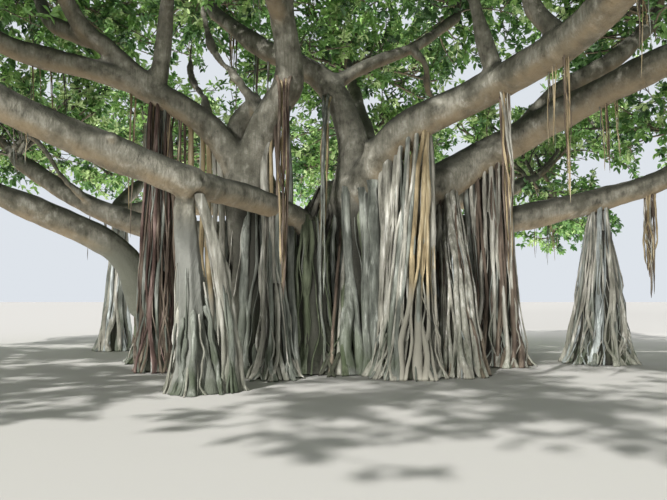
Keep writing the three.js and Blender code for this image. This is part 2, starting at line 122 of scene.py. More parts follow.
# The bark's relief: layers of noise, each with how far it stands out, how fine it is and its seed
LUMPS = ((0.03, 1.3, 1), (0.012, 4.1, 2))
LIMB_FLUTES = ((0.013, (7, 7, 0.8), 3), (0.008, (2, 2, 5), 4))
TRUNK_FLUTES = ((0.055, (3.1, 3.1, 0.45), 5), (0.03, (8, 8, 0.9), 6))
LIMB_REACH = 1.45  # radii from a limb's middle at which the trunk's flutes have taken over
LIMB_FADE = 0.35
PAST_END = 0.5  # how much the way past a limb's end counts as distance from it

# Roots on a column. Here and below, what ends in WAVES is a strength and a number of turns.
WAVE_STEPS = (1, 2.3)
SLIM_COLUMN = 0.45  # below this radius at the knee, roots wander no further round it
UNEVEN = 0.4  # how far a root starts from its even place round the column, in steps
SLIM_POWER = 1.4  # above 1, there are more slim roots than stout ones
LOOSENESS = (1.5, 0.6)  # how freely roots wander at the foot, and from LOOSE_TOP up
LOOSE_TOP = 0.4
BUNCHING = 0.7
BUNCH_WAVES = (1.2, 1.5)
DEPTH_WAVES = (0.25, 3)
GIRTH_WAVES = (0.12, 7)
ROOT_FOOT = (0.4, 0.12)  # how much thicker a root's foot is, and how far up, as a share of its length
HEAD_GIRTH = 0.85
HEAD_END = 0.6
SINK_BELOW = 0.97  # roots that end lower than this on the column sink into it
SINK_SHARE = 0.8  # share of their length at which they start to
SINK_DEPTH = 1.4  # in their radii
RIGHT_SHARE = 0.6  # of the roots on the right side of a column that has a look of its own there
RIGHT_SIDE = 0.1  # sine of the angle from straight ahead at which that side starts
ANCHOR_ASIDE = 0.6  # how far beside a limb's middle roots leave it, in its radii
ANCHOR_DROP = (0.35, 0.2)  # how far below its middle, and how much less at its sides
ROOT_DEPTH = 0.08

# Toes, the short roots at a column's foot
TOE_RINGS = 8
TOE_SIDES = 6
TOE_GIRTH = (0.025, 0.07)
TOE_RISE = (0.06, 0.22)  # where they start, as shares of the column's height
TOE_TURN = 0.14
TOE_SWELL = (0.02, 0.14)  # how far out of the column they meet the ground
TOE_POWER = 0.6
TOE_SINK = 0.5  # how deep in the column they start, in their radii
TOE_TAPER = (0.75, 1.0)  # of their radius, at the ground and at the start
TOE_END = 0.4

# Hanging roots
BUNDLE_RINGS = 24
BUNDLE_SIDES = 6
SHORTEST_REACH = 0.7
HEAD_SPREAD = 1.3  # how much wider a bundle is where it leaves its limb
HEAD_LENGTH = 0.04
BUNDLE_TWIST = 1.3
BUNDLE_WAVES = (0.5, 2)
THREAD_WAVES = (0.15, 9)  # in the radius of each of its roots
THREAD_TIP = 0.45
THREAD_END = 0.3
STRING_RINGS = 14
STRING_SINK = 0.7  # how far below a limb's middle strings start, in its radii
STRING_SCATTER = 0.08
STRING_SWAY = 0.12
STRING_WIDTH = 0.03
SHORTEST_STRING = 0.35
SLIMMEST_STRING = 0.6
LOWEST_TIP = 0.4
STRING_STRAY = 2  # along the limb, in steps of its spine
DROP_RINGS = 20
DROP_SINK = 0.3
DROP_WAVES = (0.03, 3)
DROP_GIRTH_WAVES = (0.08, 7)
DROP_FOOT = (0.8, 0.1)
DROP_HEAD = 1.6

# Foliage
STEM_PLACES = 10
FIRST_STEP = 3  # of a stem, where twigs may start
FIRST_PLACE = 0.15  # how far along a twig the next ones may start
SHORTEST_TWIG = 0.7
TWIG_STEPS = 6
TWIG_AHEAD = 0.5  # how much a twig starts out in its parent's direction
TWIG_BEND = 0.45
TWIG_RISE = 0.04
TWIG_GAP = 0.05  # between a twig and the limbs that it passes
FINE_TWIGS = 11  # on each larger twig
FINE_START = 0.3
FINE_HEADING = (0.55, 0.35, 0.75, 0.1)  # along the larger twig, out of the mass, by chance, and up
OUT_FROM = 0.6  # how far below a mass's middle its fine twigs point away from
FINE_LENGTH = (0.45, 0.95)
FINE_GIRTH = 0.011
LEAVES = 11  # on each fine twig
LEAF_START = 0.2
LEAF_POWER = 0.7  # below 1, leaves are denser towards the tips
LEAF_HEADING = (0.55, 0.85, -0.12)  # along the twig, by chance, and up
LEAF_TILT = 0.45
LEAF_LENGTH = (0.18, 0.265)
LEAF_WIDTH = 0.46  # as a share of its length
LEAF_FOLD = 0.35
LEAF_DIP = 0.08
LEAF_SHARES = (0.32, 0.7)  # of its length, where its lower and its upper corners are
UPPER_WIDTH = 0.85
# A spray's tone picks its green: by chance, and by height, which is painted light and shade, lighter towards
# the top of a mass and darker below
TONE = (0.62, 0.15, 0.26)  # of the leaves in the middle of a mass, by height, and by chance
BOX_MARGIN = 0.25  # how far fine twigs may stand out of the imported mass's box

# Where the random draws for each kind of part start
TRUNK_SEED, PILLAR_SEED, HANGING_SEED, STRING_SEED, FOLIAGE_SEED = 100, 200, 300, 400, 71

# Numbers in root_looks
# The last is a near-black look: painted shade for the wood inside roots and for some roots deep in the trunk
PALE, GREY, BROWN, MOSSY, RED, GOLDEN, COOL, CORE_SHADE = range(8)


@dataclass
class Column:
    """A fluted column of roots that grew together."""

    foot: tuple
    head: tuple
    girth: tuple  # radii at its foot, its knee and its head
    ridges: int
    twist: float
    lean: float = 1.3  # above 1, it stands steeper at its foot than at its head
    core: float = 0.91  # how wide the wood inside its outer roots is
    top: float = 0.95  # how far up that wood reaches


@dataclass
class Roots:
    """The outer roots of a column."""

    counts: tuple  # of thick, middle and thin ones
    toes: int
    scale: float  # how thick the thick ones and the toes are, next to most of the trunk's
    looks: tuple  # that they are dealt
    limb: str = ""  # that they hang from
    spread: float = 0.0  # how far they part along it, to both sides of the column's head
    tops: tuple = (1.0, 1.0)  # between which shares of the column's height they end
    gather: tuple = (0.3, 1.0)  # shares of the height between which they leave the column for the limb
    slim: float = 1.0  # how thick the middle and the thin ones are
    core_look: int = CORE_SHADE  # of the wood inside them
    right_look: int | None = None  # of most of those on the right side


@dataclass
class Kind:
    """A kind of root on a column."""

    girth: tuple
    rings: int
    sides: int
    wander: float
    turns: float  # how often it wanders to and fro
    stands: tuple  # how far its middle lies out of the column's surface, in its own radii
    slant: float  # how far round the column it may drift, in radians


@dataclass
class Limb:
    """A limb's parent, its radii at both ends, and points on its middle line."""

    parent: str
    girth: tuple
    at: tuple


@dataclass
class Mass:
    """A mass of foliage and the limb that carries it."""

    name: str
    limb: str
    middle: tuple
    droop: float = 0  # how far its underside hangs below the crown's
    twigs: float = 1  # how many it has, next to most of the others


@dataclass
class Level:
    """The twigs of one order in a mass."""

    most: int
    shell: tuple  # squared shares of the mass's ellipsoid between which they end
    girth: tuple
    sides: int
    places: int  # that each offers to the next order
    stream: int  # where their targets start in the sequence


@dataclass
class Spine:
    """A middle line, with its radius and its length so far at each point."""

    points: np.ndarray
    radius: np.ndarray
    along: np.ndarray


THICK = Kind((0.08, 0.18), 24, 8, 0.045, 2.2, (-0.35, 0.3), 0.12)
MIDDLE = Kind((0.035, 0.075), 22, 6, 0.06, 2.8, (0.0, 1.2), 0.45)
THIN = Kind((0.012, 0.03), 20, 4, 0.08, 3.0, (1.0, 3.5), 0.6)
MAIN_TWIGS = Level(7, (0.3, 0.85), (0.085, 0.03), 6, 12, 40)
SIDE_TWIGS = Level(90, (0.1, 0.97), (0.036, 0.012), 4, 0, 400)

# Some of the trunk's roots are dealt the near-black core look: painted shade in the recesses between them
TRUNK = [
    (
        Column((0, 0.3), (0.25, 0.35, 4.65), (2.3, 1.75, 0.62), 11, 0.2),
        Roots((24, 28, 26), 50, 1.0, (MOSSY, CORE_SHADE, GREY, CORE_SHADE), tops=(0.7, 1.0)),
    ),
    (
        Column((-1.78, -0.88), (-1.9, -1.25, 4.45), (1.08, 0.82, 0.47), 8, 0.5, top=0.86),
        Roots((9, 12, 14), 24, 1.1, (PALE, GREY, GREY, GREY), tops=(0.7, 0.88)),
    ),
    (
        Column((-0.45, -1.15), (-0.56, -1.56, 3.45), (0.62, 0.42, 0.3), 6, 0.3),
        Roots((4, 12, 20), 14, 0.7, (GREY, MOSSY, CORE_SHADE, MOSSY), tops=(0.8, 1.0)),
    ),
    (
        Column((0.62, -0.62), (0.5, -0.8, 4.25), (1, 0.72, 0.5), 7, -0.4),
        Roots((9, 11, 12), 22, 1.0, (GREY, GREY, MOSSY, GREY), tops=(0.7, 1.0)),
    ),
    (
        Column((2.25, 0), (2.25, -0.35, 4.3), (1.15, 0.82, 0.48), 8, 0.4),
        Roots((14, 16, 16), 28, 1.0, (PALE, GREY, GREY, BROWN), tops=(0.7, 1.0)),
    ),
    (
        Column((-1.65, 1.45), (-1.75, 1.35, 4.3), (1.2, 0.85, 0.48), 7, -0.5),
        Roots((14, 16, 16), 28, 1.0, (GREY, GREY, MOSSY, PALE), tops=(0.6, 1.0)),
    ),
    (
        Column((1.05, 1.85), (0.95, 1.7, 4.5), (1.25, 0.9, 0.56), 8, 0.3),
        Roots((15, 17, 16), 28, 1.0, (GREY, GREY, MOSSY, PALE), tops=(0.6, 1.0)),
    ),
    (
        Column((-0.9, 0.5), (-1, 0.3, 4.7), (0.95, 0.7, 0.43), 6, 0.3, top=0.75),
        Roots((11, 14, 12), 18, 0.8, (GREY, BROWN, MOSSY, GREY), "bough_centre_upright", 0.5),
    ),
]

PILLARS = {
    "pillar_front_left": (
        Column((-2.4, -4.1), (-2.68, -4.27, 3.75), (0.57, 0.33, 0.19), 7, 0.3, core=0.93, top=0.9),
        Roots((5, 9, 18), 22, 0.5, (PALE, GREY, PALE, GREY), "bough_left_front", 0.1, (0.25, 0.62)),
    ),
    "root_front_left": (
        Column((-1.86, -4.05), (-2.37, -4.33, 3.45), (0.27, 0.14, 0.11), 4, -0.3, 2.3, core=0.95, top=1.0),
        Roots(
            (3, 3, 4), 8, 0.5, (PALE, GREY, PALE, GREY), "bough_left_link", 0.06, (0.5, 0.8), core_look=PALE
        ),
    ),
    "stem_left": (
        Column((-4.55, 1.15), (-4.65, 1.45, 3.4), (0.76, 0.52, 0.38), 8, -0.3, core=0.93),
        Roots((9, 12, 14), 26, 0.75, (PALE, GREY, MOSSY, BROWN), "bough_left_low", 0.0, (0.4, 0.8)),
    ),
    "roots_red_curtain": (
        Column((-4, -0.9), (-3.93, -1.51, 6.12), (0.45, 0.37, 0.14), 9, 0.6, core=0.6, top=0.36),
        Roots(
            (3, 14, 90), 12, 0.35, (RED, BROWN, RED, BROWN, GREY), "bough_left_high", 0.12, gather=(0.36, 0.7)
        ),
    ),
    "roots_middle_front": (
        Column((-1.2, -2.25), (-1.15, -2.45, 3.5), (0.52, 0.25, 0.16), 8, -0.5, core=0.7, top=0.55),
        Roots((6, 10, 12), 20, 0.6, (PALE, PALE, GREY, PALE), "bough_left_link", 0.1, gather=(0.3, 0.7)),
    ),
    "roots_right_front": (
        Column((1.55, -1.95), (1.75, -1.85, 5.3), (0.82, 0.52, 0.33), 11, 0.4, core=0.72, top=0.4),
        Roots(
            (12, 28, 36), 30, 0.55, (PALE, PALE, GREY), "bough_right_high", 0.42, gather=(0.25, 0.9),
            slim=0.85, right_look=GOLDEN,
        ),
    ),
    "roots_right_forked": (
        Column((2.7, -1.75), (2.75, -0.35, 4.5), (0.56, 0.38, 0.2), 8, -0.4, core=0.65, top=0.5),
        Roots((6, 18, 32), 20, 0.55, (PALE, PALE, GREY, COOL, BROWN), "bough_right_middle", 0.25, slim=0.85),
    ),
    "roots_right_cluster": (
        Column((4.05, 0.5), (3.75, -0.15, 5), (0.82, 0.52, 0.33), 10, 0.4, core=0.72, top=0.55),
        Roots((10, 34, 48), 30, 0.5, (BROWN, PALE, GREY, PALE, BROWN), "bough_right_middle", 0.5, slim=0.8),
    ),
    "pillar_right": (
        Column((6.8, 1.05), (6.93, 1, 4.15), (0.93, 0.62, 0.34), 13, 0.5, core=0.72, top=0.8),
        Roots((11, 46, 64), 44, 0.42, (COOL, PALE, PALE, GREY), "bough_right_low", 0.22, slim=0.75),
    ),
    "pillar_back_left": (
        Column((-7, 5.2), (-6.9, 5.2, 4.55), (0.6, 0.33, 0.18), 9, -0.4, core=0.7, top=0.7),
        Roots((10, 22, 24), 24, 0.5, (PALE, COOL, PALE, GREY), "bough_back_left", 0.3),
    ),
    "pillar_back_right": (
        Column((4.7, 4.95), (4.75, 4.98, 4.85), (0.76, 0.48, 0.3), 11, 0.5, core=0.72, top=0.7),
        Roots((11, 32, 40), 30, 0.45, (PALE, COOL, GREY, BROWN), "bough_back_right", 0.35, slim=0.8),
    ),
}

LIMBS = {
    "bough_left_high": Limb("trunk", (0.33, 0.2), (
        (-1.85, -1.3, 4.15), (-2.86, -1.5, 5.49), (-4.72, -1.7, 6.49), (-7.08, -2.3, 7.06), (-7.9, -3, 7.9),
    )),
    "bough_centre_upright": Limb("trunk", (0.38, 0.24), (
        (-1.95, -1.35, 4.15), (-1.53, -1.5, 5.49), (-1, -1.6, 6.5), (-1.15, -1.9, 8.18), (-0.9, -3.3, 9.5),
    )),
    "bough_centre_bent": Limb("trunk", (0.4, 0.19), (
        (0.42, -0.78, 3.9), (0.44, -0.5, 5.4), (-0.2, -0.2, 6.9), (-1.72, 0.1, 7.85), (-3.2, 1.2, 9.3),
    )),
    "bough_right_high": Limb("trunk", (0.42, 0.27), (
        (0.7, -0.9, 4.1), (1.45, -1.65, 5.18), (3.25, -2.45, 6.01), (4.29, -4.5, 6.28), (4.9, -7.3, 6.9),
    )),
    "bough_right_middle": Limb("trunk", (0.45, 0.25), (
        (2.25, -0.4, 4.2), (3.5, -0.1, 4.95), (4.6, -0.8, 5.52), (6.45, -3.2, 6.27), (8.3, -4.1, 6.9),
    )),
    "bough_right_low": Limb("trunk", (0.4, 0.23), (
        (2.5, 0.5, 3.15), (4.14, 0.8, 3.55), (6.93, 1, 4.19), (8.44, 0.7, 4.68), (9.7, 1, 5.5),
    )),
    "bough_left_back": Limb("trunk", (0.38, 0.22), (
        (-2, 1.2, 3.3), (-4.3, 1.6, 3.42), (-6.25, 1.5, 4), (-8.7, 2.2, 5.4),
    )),
    "bough_back_left": Limb("trunk", (0.38, 0.21), (
        (-1.75, 1.45, 4.15), (-4.3, 3.4, 4.45), (-7, 5.25, 4.55), (-7, 7, 5.6),
    )),
    "bough_back": Limb("trunk", (0.4, 0.22), (
        (0.85, 1.85, 4.3), (0.5, 4.3, 5.3), (0.7, 6.5, 5.9), (1, 8.6, 6.5),
    )),
    "bough_back_right": Limb("trunk", (0.4, 0.22), (
        (1.15, 1.75, 4.2), (3.3, 3.6, 4.65), (5, 5.2, 4.9), (6.7, 6.7, 5.7),
    )),
    "bough_back_high": Limb("trunk", (0.34, 0.2), (
        (0.9, 1.65, 4.3), (1, 2.9, 6), (0.8, 4.3, 7.6), (0.6, 5.3, 8.9),
    )),
    "bough_left_front": Limb("pillar_front_left", (0.3, 0.25), (
        (-2.45, -4.25, 3.64), (-3.48, -4.7, 3.99), (-5.32, -5.5, 4.74), (-7.3, -6.5, 5.9),
    )),
    "bough_left_low": Limb("stem_left", (0.4, 0.23), (
        (-4.75, 1.05, 1.5), (-5.5, 0.8, 2.82), (-7.2, -0.1, 3.78), (-9.5, -1, 4.7),
    )),
    "limb_left_upright": Limb("bough_left_high", (0.19, 0.14), (
        (-3.95, -1.62, 6.15), (-3.8, -1.6, 7.2), (-3.6, -1.95, 8.8),
    )),
    "limb_left_arched": Limb("bough_left_high", (0.23, 0.14), (
        (-4.15, -1.64, 6.35), (-4.9, -1.7, 7.05), (-5.5, -1.85, 7.55), (-5.85, -2.3, 8.3), (-5.8, -3.4, 9.3),
    )),
    "limb_left_outer": Limb("limb_left_arched", (0.17, 0.13), (
        (-5.1, -1.75, 7.23), (-6.3, -1.5, 7.8), (-7.05, -0.7, 8.8),
    )),
    "limb_front_over": Limb("bough_centre_upright", (0.2, 0.15), (
        (-1.12, -1.75, 7.8), (-1.45, -3.3, 8.35), (-1.9, -7.6, 9),
    )),
    "limb_right_crossing": Limb("bough_centre_bent", (0.16, 0.12), (
        (-0.15, -0.215, 6.8), (1, 0.2, 7.55), (2.13, 0.6, 8.15), (3.3, 1.3, 9.2),
    )),
    "limb_right_upright": Limb("bough_right_high", (0.17, 0.13), (
        (3.4, -2.6, 6.03), (3.13, -2.5, 7.13), (2.75, -2.3, 9.1),
    )),
    "limb_right_front": Limb("bough_right_high", (0.16, 0.12), (
        (4.22, -4.25, 6.28), (3.75, -3.8, 7.2), (3.55, -4.6, 8.5),
    )),
    "limb_right_upper": Limb("bough_right_middle", (0.26, 0.16), (
        (4.35, -0.62, 5.4), (5.1, -0.9, 6.3), (6.35, -1.3, 7.05), (7.4, -1.1, 8),
    )),
    "bough_left_link": Limb("pillar_front_left", (0.265, 0.235), (
        (-2.45, -4.25, 3.64), (-1.65, -2.95, 3.6), (-0.75, -1.65, 3.35), (-0.56, -1.5, 3.15),
    )),
}

MASSES = [
    Mass("foliage_left_high", "bough_left_high", (-8.3, -3.6, 10)),
    Mass("foliage_front_high", "bough_centre_upright", (-0.8, -5.6, 11.4), twigs=0.7),
    Mass("foliage_top_left", "bough_centre_bent", (-3.6, 3.3, 11.9)),
    Mass("foliage_front_right", "bough_right_high", (5.4, -9.6, 7.9), twigs=0.7),
    Mass("foliage_right_front", "bough_right_middle", (11.2, -4.4, 7.7)),
    Mass("foliage_right", "bough_right_low", (12, 2.4, 7), 1.2, twigs=1.2),
    Mass("foliage_left_back", "bough_left_back", (-11, 4.8, 7.3), twigs=1.15),
    Mass("foliage_back_left", "bough_back_left", (-6.5, 9.5, 7.4), twigs=1.45),
    Mass("foliage_back", "bough_back", (1.2, 11.4, 7.5), 0.3, twigs=1.3),
    Mass("foliage_back_right", "bough_back_right", (8.6, 8.6, 6.6), 2.4, twigs=1.25),
    Mass("foliage_back_high", "bough_back_high", (0.5, 6.9, 11), twigs=1.5),
    Mass("foliage_front_left", "bough_left_front", (-9.3, -7.5, 7.4), twigs=0.8),
    Mass("foliage_left", "bough_left_low", (-12.3, -1.2, 6.7), 0.2),
    Mass("foliage_top_front_left", "limb_left_upright", (-3.5, -1.9, 11.9), twigs=0.75),
    Mass("foliage_high_front_left", "limb_left_arched", (-5.4, -6.6, 10.4), twigs=0.75),
    Mass("foliage_high_left", "limb_left_outer", (-7.6, 1.3, 10.7)),
    Mass("foliage_front", "limb_front_over", (-2.2, -10.4, 8.7), twigs=0.7),
    Mass("foliage_top_right", "limb_right_crossing", (3.5, 3, 12)),
    Mass("foliage_top_front_right", "limb_right_upright", (2.5, -2.2, 12.2), twigs=0.75),
    Mass("foliage_high_front_right", "limb_right_front", (4.2, -6.3, 10.5), twigs=0.75),
    Mass("foliage_high_right", "limb_right_upper", (8.2, -0.2, 10.5), twigs=1.1),
]

# Hanging bundles: head, tip and width, and how many roots, their radii and their looks
HANGING_ROOTS = {
    "hanging_roots_middle": (
        (-1.08, -1.85, 6.45), (-1, -2.95, 1.6), 0.1, 16, (0.014, 0.036), (GOLDEN, BROWN, GOLDEN, RED),
    ),
    "hanging_roots_centre": (
        (-0.13, -0.42, 6.5), (-0.25, -2.3, 1.3), 0.085, 9, (0.018, 0.042), (GOLDEN, PALE, GOLDEN, GREY),
    ),
    "hanging_roots_right": (
        (3.45, -2.72, 6.05), (3.48, -2.9, 2.1), 0.12, 14, (0.012, 0.03), (GOLDEN, GOLDEN, BROWN, PALE),
    ),
    "hanging_roots_front": (
        (4.19, -4.3, 6.25), (4.15, -4.38, 3.3), 0.07, 9, (0.008, 0.02), (GOLDEN, BROWN, GOLDEN, GOLDEN),
    ),
    "hanging_roots_outer": (
        (8.1, 0.76, 4.55), (8.05, 0.7, 1.65), 0.15, 24, (0.014, 0.036), (GOLDEN, BROWN, GOLDEN, PALE),
    ),
}

# Thin roots that hang in pairs: the limb and the share of its length, the longest, how many pairs, and the
# radius
STRINGS = [
    ("bough_left_high", 0.3, 3.4, 5, 0.02),
    ("bough_left_high", 0.37, 2.7, 4, 0.018),
    ("bough_left_high", 0.44, 3.6, 5, 0.022),
    ("bough_left_high", 0.7, 2.2, 4, 0.012),
    ("bough_centre_upright", 0.62, 1.7, 3, 0.012),
    ("limb_front_over", 0.35, 1.6, 4, 0.01),
    ("bough_right_high", 0.63, 2.0, 4, 0.011),
    ("bough_right_high", 0.86, 1.6, 4, 0.01),
    ("bough_right_middle", 0.62, 2.2, 5, 0.014),
    ("bough_right_middle", 0.8, 1.7, 4, 0.011),
    ("bough_right_low", 0.42, 1.3, 4, 0.012),
    ("bough_left_back", 0.62, 1.4, 4, 0.012),
    ("bough_back_left", 0.4, 1.8, 5, 0.014),
    ("bough_back", 0.55, 2.4, 6, 0.014),
    ("bough_back_right", 0.35, 1.7, 5, 0.014),
    ("bough_left_front", 0.55, 1.3, 3, 0.01),
    ("bough_centre_bent", 0.71, 2.2, 3, 0.024),
    ("bough_centre_bent", 0.9, 2.6, 4, 0.024),
]
STRING_LOOKS = (GOLDEN, BROWN, GREY)

# Single roots down to the ground: the share of the limb's length and the side where each starts, its foot,
# its radius and its look
BELOW = (0, 0)  # straight under the limb's middle
DROP_ROOTS = {
    "bough_left_high": (
        (0.355, BELOW, (-3.15, -1.5), 0.07, BROWN),
        (0.31, BELOW, (-3.2, -1.45), 0.03, BROWN),
        (0.272, BELOW, (-3.05, -1.5), 0.062, GOLDEN),
        (0.245, BELOW, (-2.9, -1.45), 0.045, PALE),
        (0.23, BELOW, (-2.8, -1.6), 0.05, GOLDEN),
        (0.215, BELOW, (-2.65, -1.5), 0.065, GOLDEN),
        (0.195, BELOW, (-2.45, -1.6), 0.05, PALE),
        (0.17, BELOW, (-2.2, -1.7), 0.07, PALE),
    ),
    "bough_centre_upright": (
        (0.17, (0.35, -0.4), (-1.35, -2.1), 0.1, PALE),
        (0.22, (0.5, -0.4), (-1.15, -1.9), 0.045, GOLDEN),
        (0.26, (0.5, -0.5), (-1.0, -1.95), 0.04, BROWN),
        (0.33, (0.6, -0.4), (-0.8, -1.85), 0.08, GREY),
    ),
    "bough_right_high": (
        (0.03, (-0.25, -0.6), (0.75, -1.75), 0.1, GREY),
        (0.06, (0.0, -0.6), (0.93, -1.8), 0.13, GREY),
        (0.09, (0.1, -0.6), (1.05, -1.95), 0.08, PALE),
        (0.12, (0.15, -0.6), (1.2, -2.0), 0.11, PALE),
    ),
    "bough_centre_bent": (
        (0.24, BELOW, (0.1, -1.75), 0.05, PALE),
        (0.3, BELOW, (-0.05, -1.8), 0.035, BROWN),
    ),
    "bough_right_middle": ((0.12, BELOW, (2.2, -1.3), 0.07, PALE),),
    "bough_right_low": ((0.18, BELOW, (3.2, 0.1), 0.06, BROWN),),
    "bough_back": ((0.3, BELOW, (0.4, 3.9), 0.07, GREY),),
    "bough_back_left": ((0.3, BELOW, (-3.6, 3.1), 0.07, GREY),),
    "bough_back_right": ((0.28, BELOW, (3, 3.5), 0.06, PALE),),
}

# Stubs of lost branches: the limb and the share of its length, where each points, its radius and its height
KNOTS = [
    ("bough_left_front", 0.27, (0.1, -0.75, 0.65), 0.1, 0.11),
    ("bough_left_link", 0.04, (0.1, -1, -0.1), 0.1, 0.1),
    ("bough_right_high", 0.73, (0, -0.85, 0.45), 0.12, 0.1),
    ("bough_right_high", 0.1, (-0.5, -0.6, 1), 0.16, 0.16),
    ("bough_right_middle", 0.6, (-0.2, -0.9, 0.2), 0.13, 0.05),
    ("bough_left_high", 0.3, (0.2, -0.8, 0.7), 0.12, 0.06),
    ("bough_back", 0.3, (0.8, 0.2, 0.6), 0.13, 0.08),
    ("bough_left_low", 0.55, (0.2, -0.8, 0.5), 0.13, 0.06),
]

# Wood that is no limb of its own: the limb that it grows from, its radii at both ends, and points on its
# middle line. The first is the web behind the fork on the left, and the others are small branches.
BRANCHES = [
    ("bough_centre_upright", (0.42, 0.28), (
        (-2.2, -0.9, 4.4), (-2.35, -0.85, 4.95), (-2.2, -0.9, 5.5), (-1.6, -1.0, 6.2),
    )),
    ("bough_centre_upright", BRANCH_GIRTH, (
        (-1.55, -1.4, 5.6), (-2.1, -1.15, 6.5), (-2.85, -0.8, 7.5), (-3.2, -0.4, 8.7),
    )),
    ("bough_left_high", BRANCH_GIRTH, (
        (-2.75, -1.45, 5.4), (-3.0, -0.9, 6.2), (-3.6, 0.2, 7.3), (-3.8, 1.2, 8.6),
    )),
    ("limb_right_crossing", BRANCH_GIRTH, (
        (2.0, 0.55, 8.1), (2.35, 0.4, 7.6), (2.5, 0.9, 7.0), (3.1, 1.5, 6.9),
    )),
    ("bough_right_middle", BRANCH_GIRTH, (
        (5.6, -2.2, 5.95), (6.3, -1.6, 6.4), (7.3, -1.6, 6.7), (8.6, -1.2, 7.6),
    )),
    ("bough_left_back", BRANCH_GIRTH, (
        (-6.1, 1.5, 3.95), (-7.0, 1.0, 4.7), (-7.6, 0.9, 5.6), (-8.8, 0.4, 6.6),
    )),
]

# What each group of wood is fused from: everything that grows from this column, in grains of this size
FUSED_GROUPS = {"trunk": VOXEL, "pillar_front_left": FINE_VOXEL, "stem_left": FINE_VOXEL}

# Limbs that run on into each other round a bend
BENDS = {"pillar_front_left": ("bough_left_front", "bough_left_link")}


UP = np.array([0.0, 0.0, 1.0])
EAST = np.array([1.0, 0.0, 0.0])
LEVEL = np.array([1.0, 1.0, 0.0])
STEEP = 0.9
TINY = 1e-9
FULL_TURN = 2 * math.pi
HASH_PRIMES = (73856093, 19349663, 83492791)
HASH_MIX = 1274126177
HASH_SHIFTS = (15, 13)
HASH_MASK = 0xFFFF
HASH_HALF = 0x7FFF
SEED_STEP = 2654435761


def mix(a, b, share):
    return a + (b - a) * share


def unit(vectors):
    return vectors / np.maximum(np.linalg.norm(vectors, axis=-1, keepdims=True), TINY)


def smooth_step(share):
    share = np.clip(share, 0, 1)
    return share * share * (3 - 2 * share)


def bent(start, bend, end, share):
    """Points on a curve that leaves its start towards the bend and comes to its end from there."""
    return (1 - share) ** 2 * start + 2 * share * (1 - share) * bend + share**2 * end


def lengths_along(points):
    """How long a path is up to each of its points."""
    return np.concatenate([[0], np.cumsum(np.linalg.norm(np.diff(points, axis=0), axis=1))])


def noise(points, seed):
    """Smooth noise from -1 to 1 at points whose unit is one cell."""
    cell = np.floor(points).astype(np.int64)
    part = smooth_step(points - cell)
    total = np.zeros(len(points))
    for corner in itertools.product((0, 1), repeat=3):
        x, y, z = ((cell + corner) * HASH_PRIMES).T
        mixed = (x ^ y ^ z ^ seed * SEED_STEP) * HASH_MIX
        mixed = (mixed ^ (mixed >> HASH_SHIFTS[0])) * HASH_MIX
        value = ((mixed >> HASH_SHIFTS[1]) & HASH_MASK) / HASH_HALF - 1
        total += value * np.where(np.array(corner, bool), part, 1 - part).prod(axis=1)
    return total


def across_from(ahead):
    """A direction across each of these."""
    return unit(np.cross(ahead, np.where(np.abs(ahead[..., 2:]) > STEEP, EAST, UP)))


def frames_along(paths):
    """The direction of each path at its points, and two directions across it that don't twist."""
    along = unit(np.gradient(paths, axis=-2))
    across = np.empty_like(paths)
    across[..., 0, :] = across_from(along[..., 0, :])
    for k in range(1, paths.shape[-2]):
        carried = across[..., k - 1, :]
        ahead = along[..., k, :]
        across[..., k, :] = unit(carried - (carried * ahead).sum(axis=-1, keepdims=True) * ahead)
    return along, across, np.cross(along, across)


def tube_rings(paths, radii, sides):
    """Round rings along many paths, as an array of tube, ring, side and coordinate."""
    _, across, other = frames_along(paths)
    turns = np.arange(sides) * FULL_TURN / sides
    ring = across[..., None, :] * np.cos(turns)[:, None] + other[..., None, :] * np.sin(turns)[:, None]
    return paths[..., None, :] + radii[..., None, None] * ring


class Skins:
    """Closed skins over stacks of rings, gathered into one mesh."""

    def __init__(self):
        self.points = []
        self.faces = []
        self.picks = []
        self.count = 0

    def add(self, rings, picks=0):
        """Adds tubes given as tube, ring, side and coordinate. picks is each tube's material."""
        tubes, height, sides, _ = rings.shape
        number = self.count + np.arange(tubes * height * sides).reshape(tubes, height, sides)
        right = np.roll(number, -1, axis=2)
        walls = np.stack([number[:, :-1], right[:, :-1], right[:, 1:], number[:, 1:]], axis=-1)
        picks = np.broadcast_to(picks, tubes)
        self.points.append(rings.reshape(-1, 3))
        self.faces += [walls.reshape(-1, 4), number[:, 0, ::-1], number[:, -1]]
        self.picks += [np.repeat(picks, (height - 1) * sides), picks, picks]
        self.count += tubes * height * sides

    def add_spikes(self, starts, ends, girth):
        """Three-sided spikes, as the finest twigs."""
        ahead = unit(ends - starts)
        across = across_from(ahead)[:, None]
        other = np.cross(ahead[:, None], across)
        turns = np.arange(3)[:, None] * FULL_TURN / 3
        foot = starts[:, None] + (across * np.cos(turns) + other * np.sin(turns)) * girth
        number = self.count + np.arange(len(starts) * 4).reshape(-1, 4)
        self.points.append(np.concatenate([foot, ends[:, None]], axis=1).reshape(-1, 3))
        self.faces += [number[:, corners] for corners in ([0, 1, 3], [1, 2, 3], [2, 0, 3], [2, 1, 0])]
        self.picks += [np.zeros(len(starts), int)] * 4
        self.count += len(starts) * 4

    def mesh(self, name, looks=()):
        return mesh_from(name, np.concatenate(self.points), self.faces, np.concatenate(self.picks), looks)


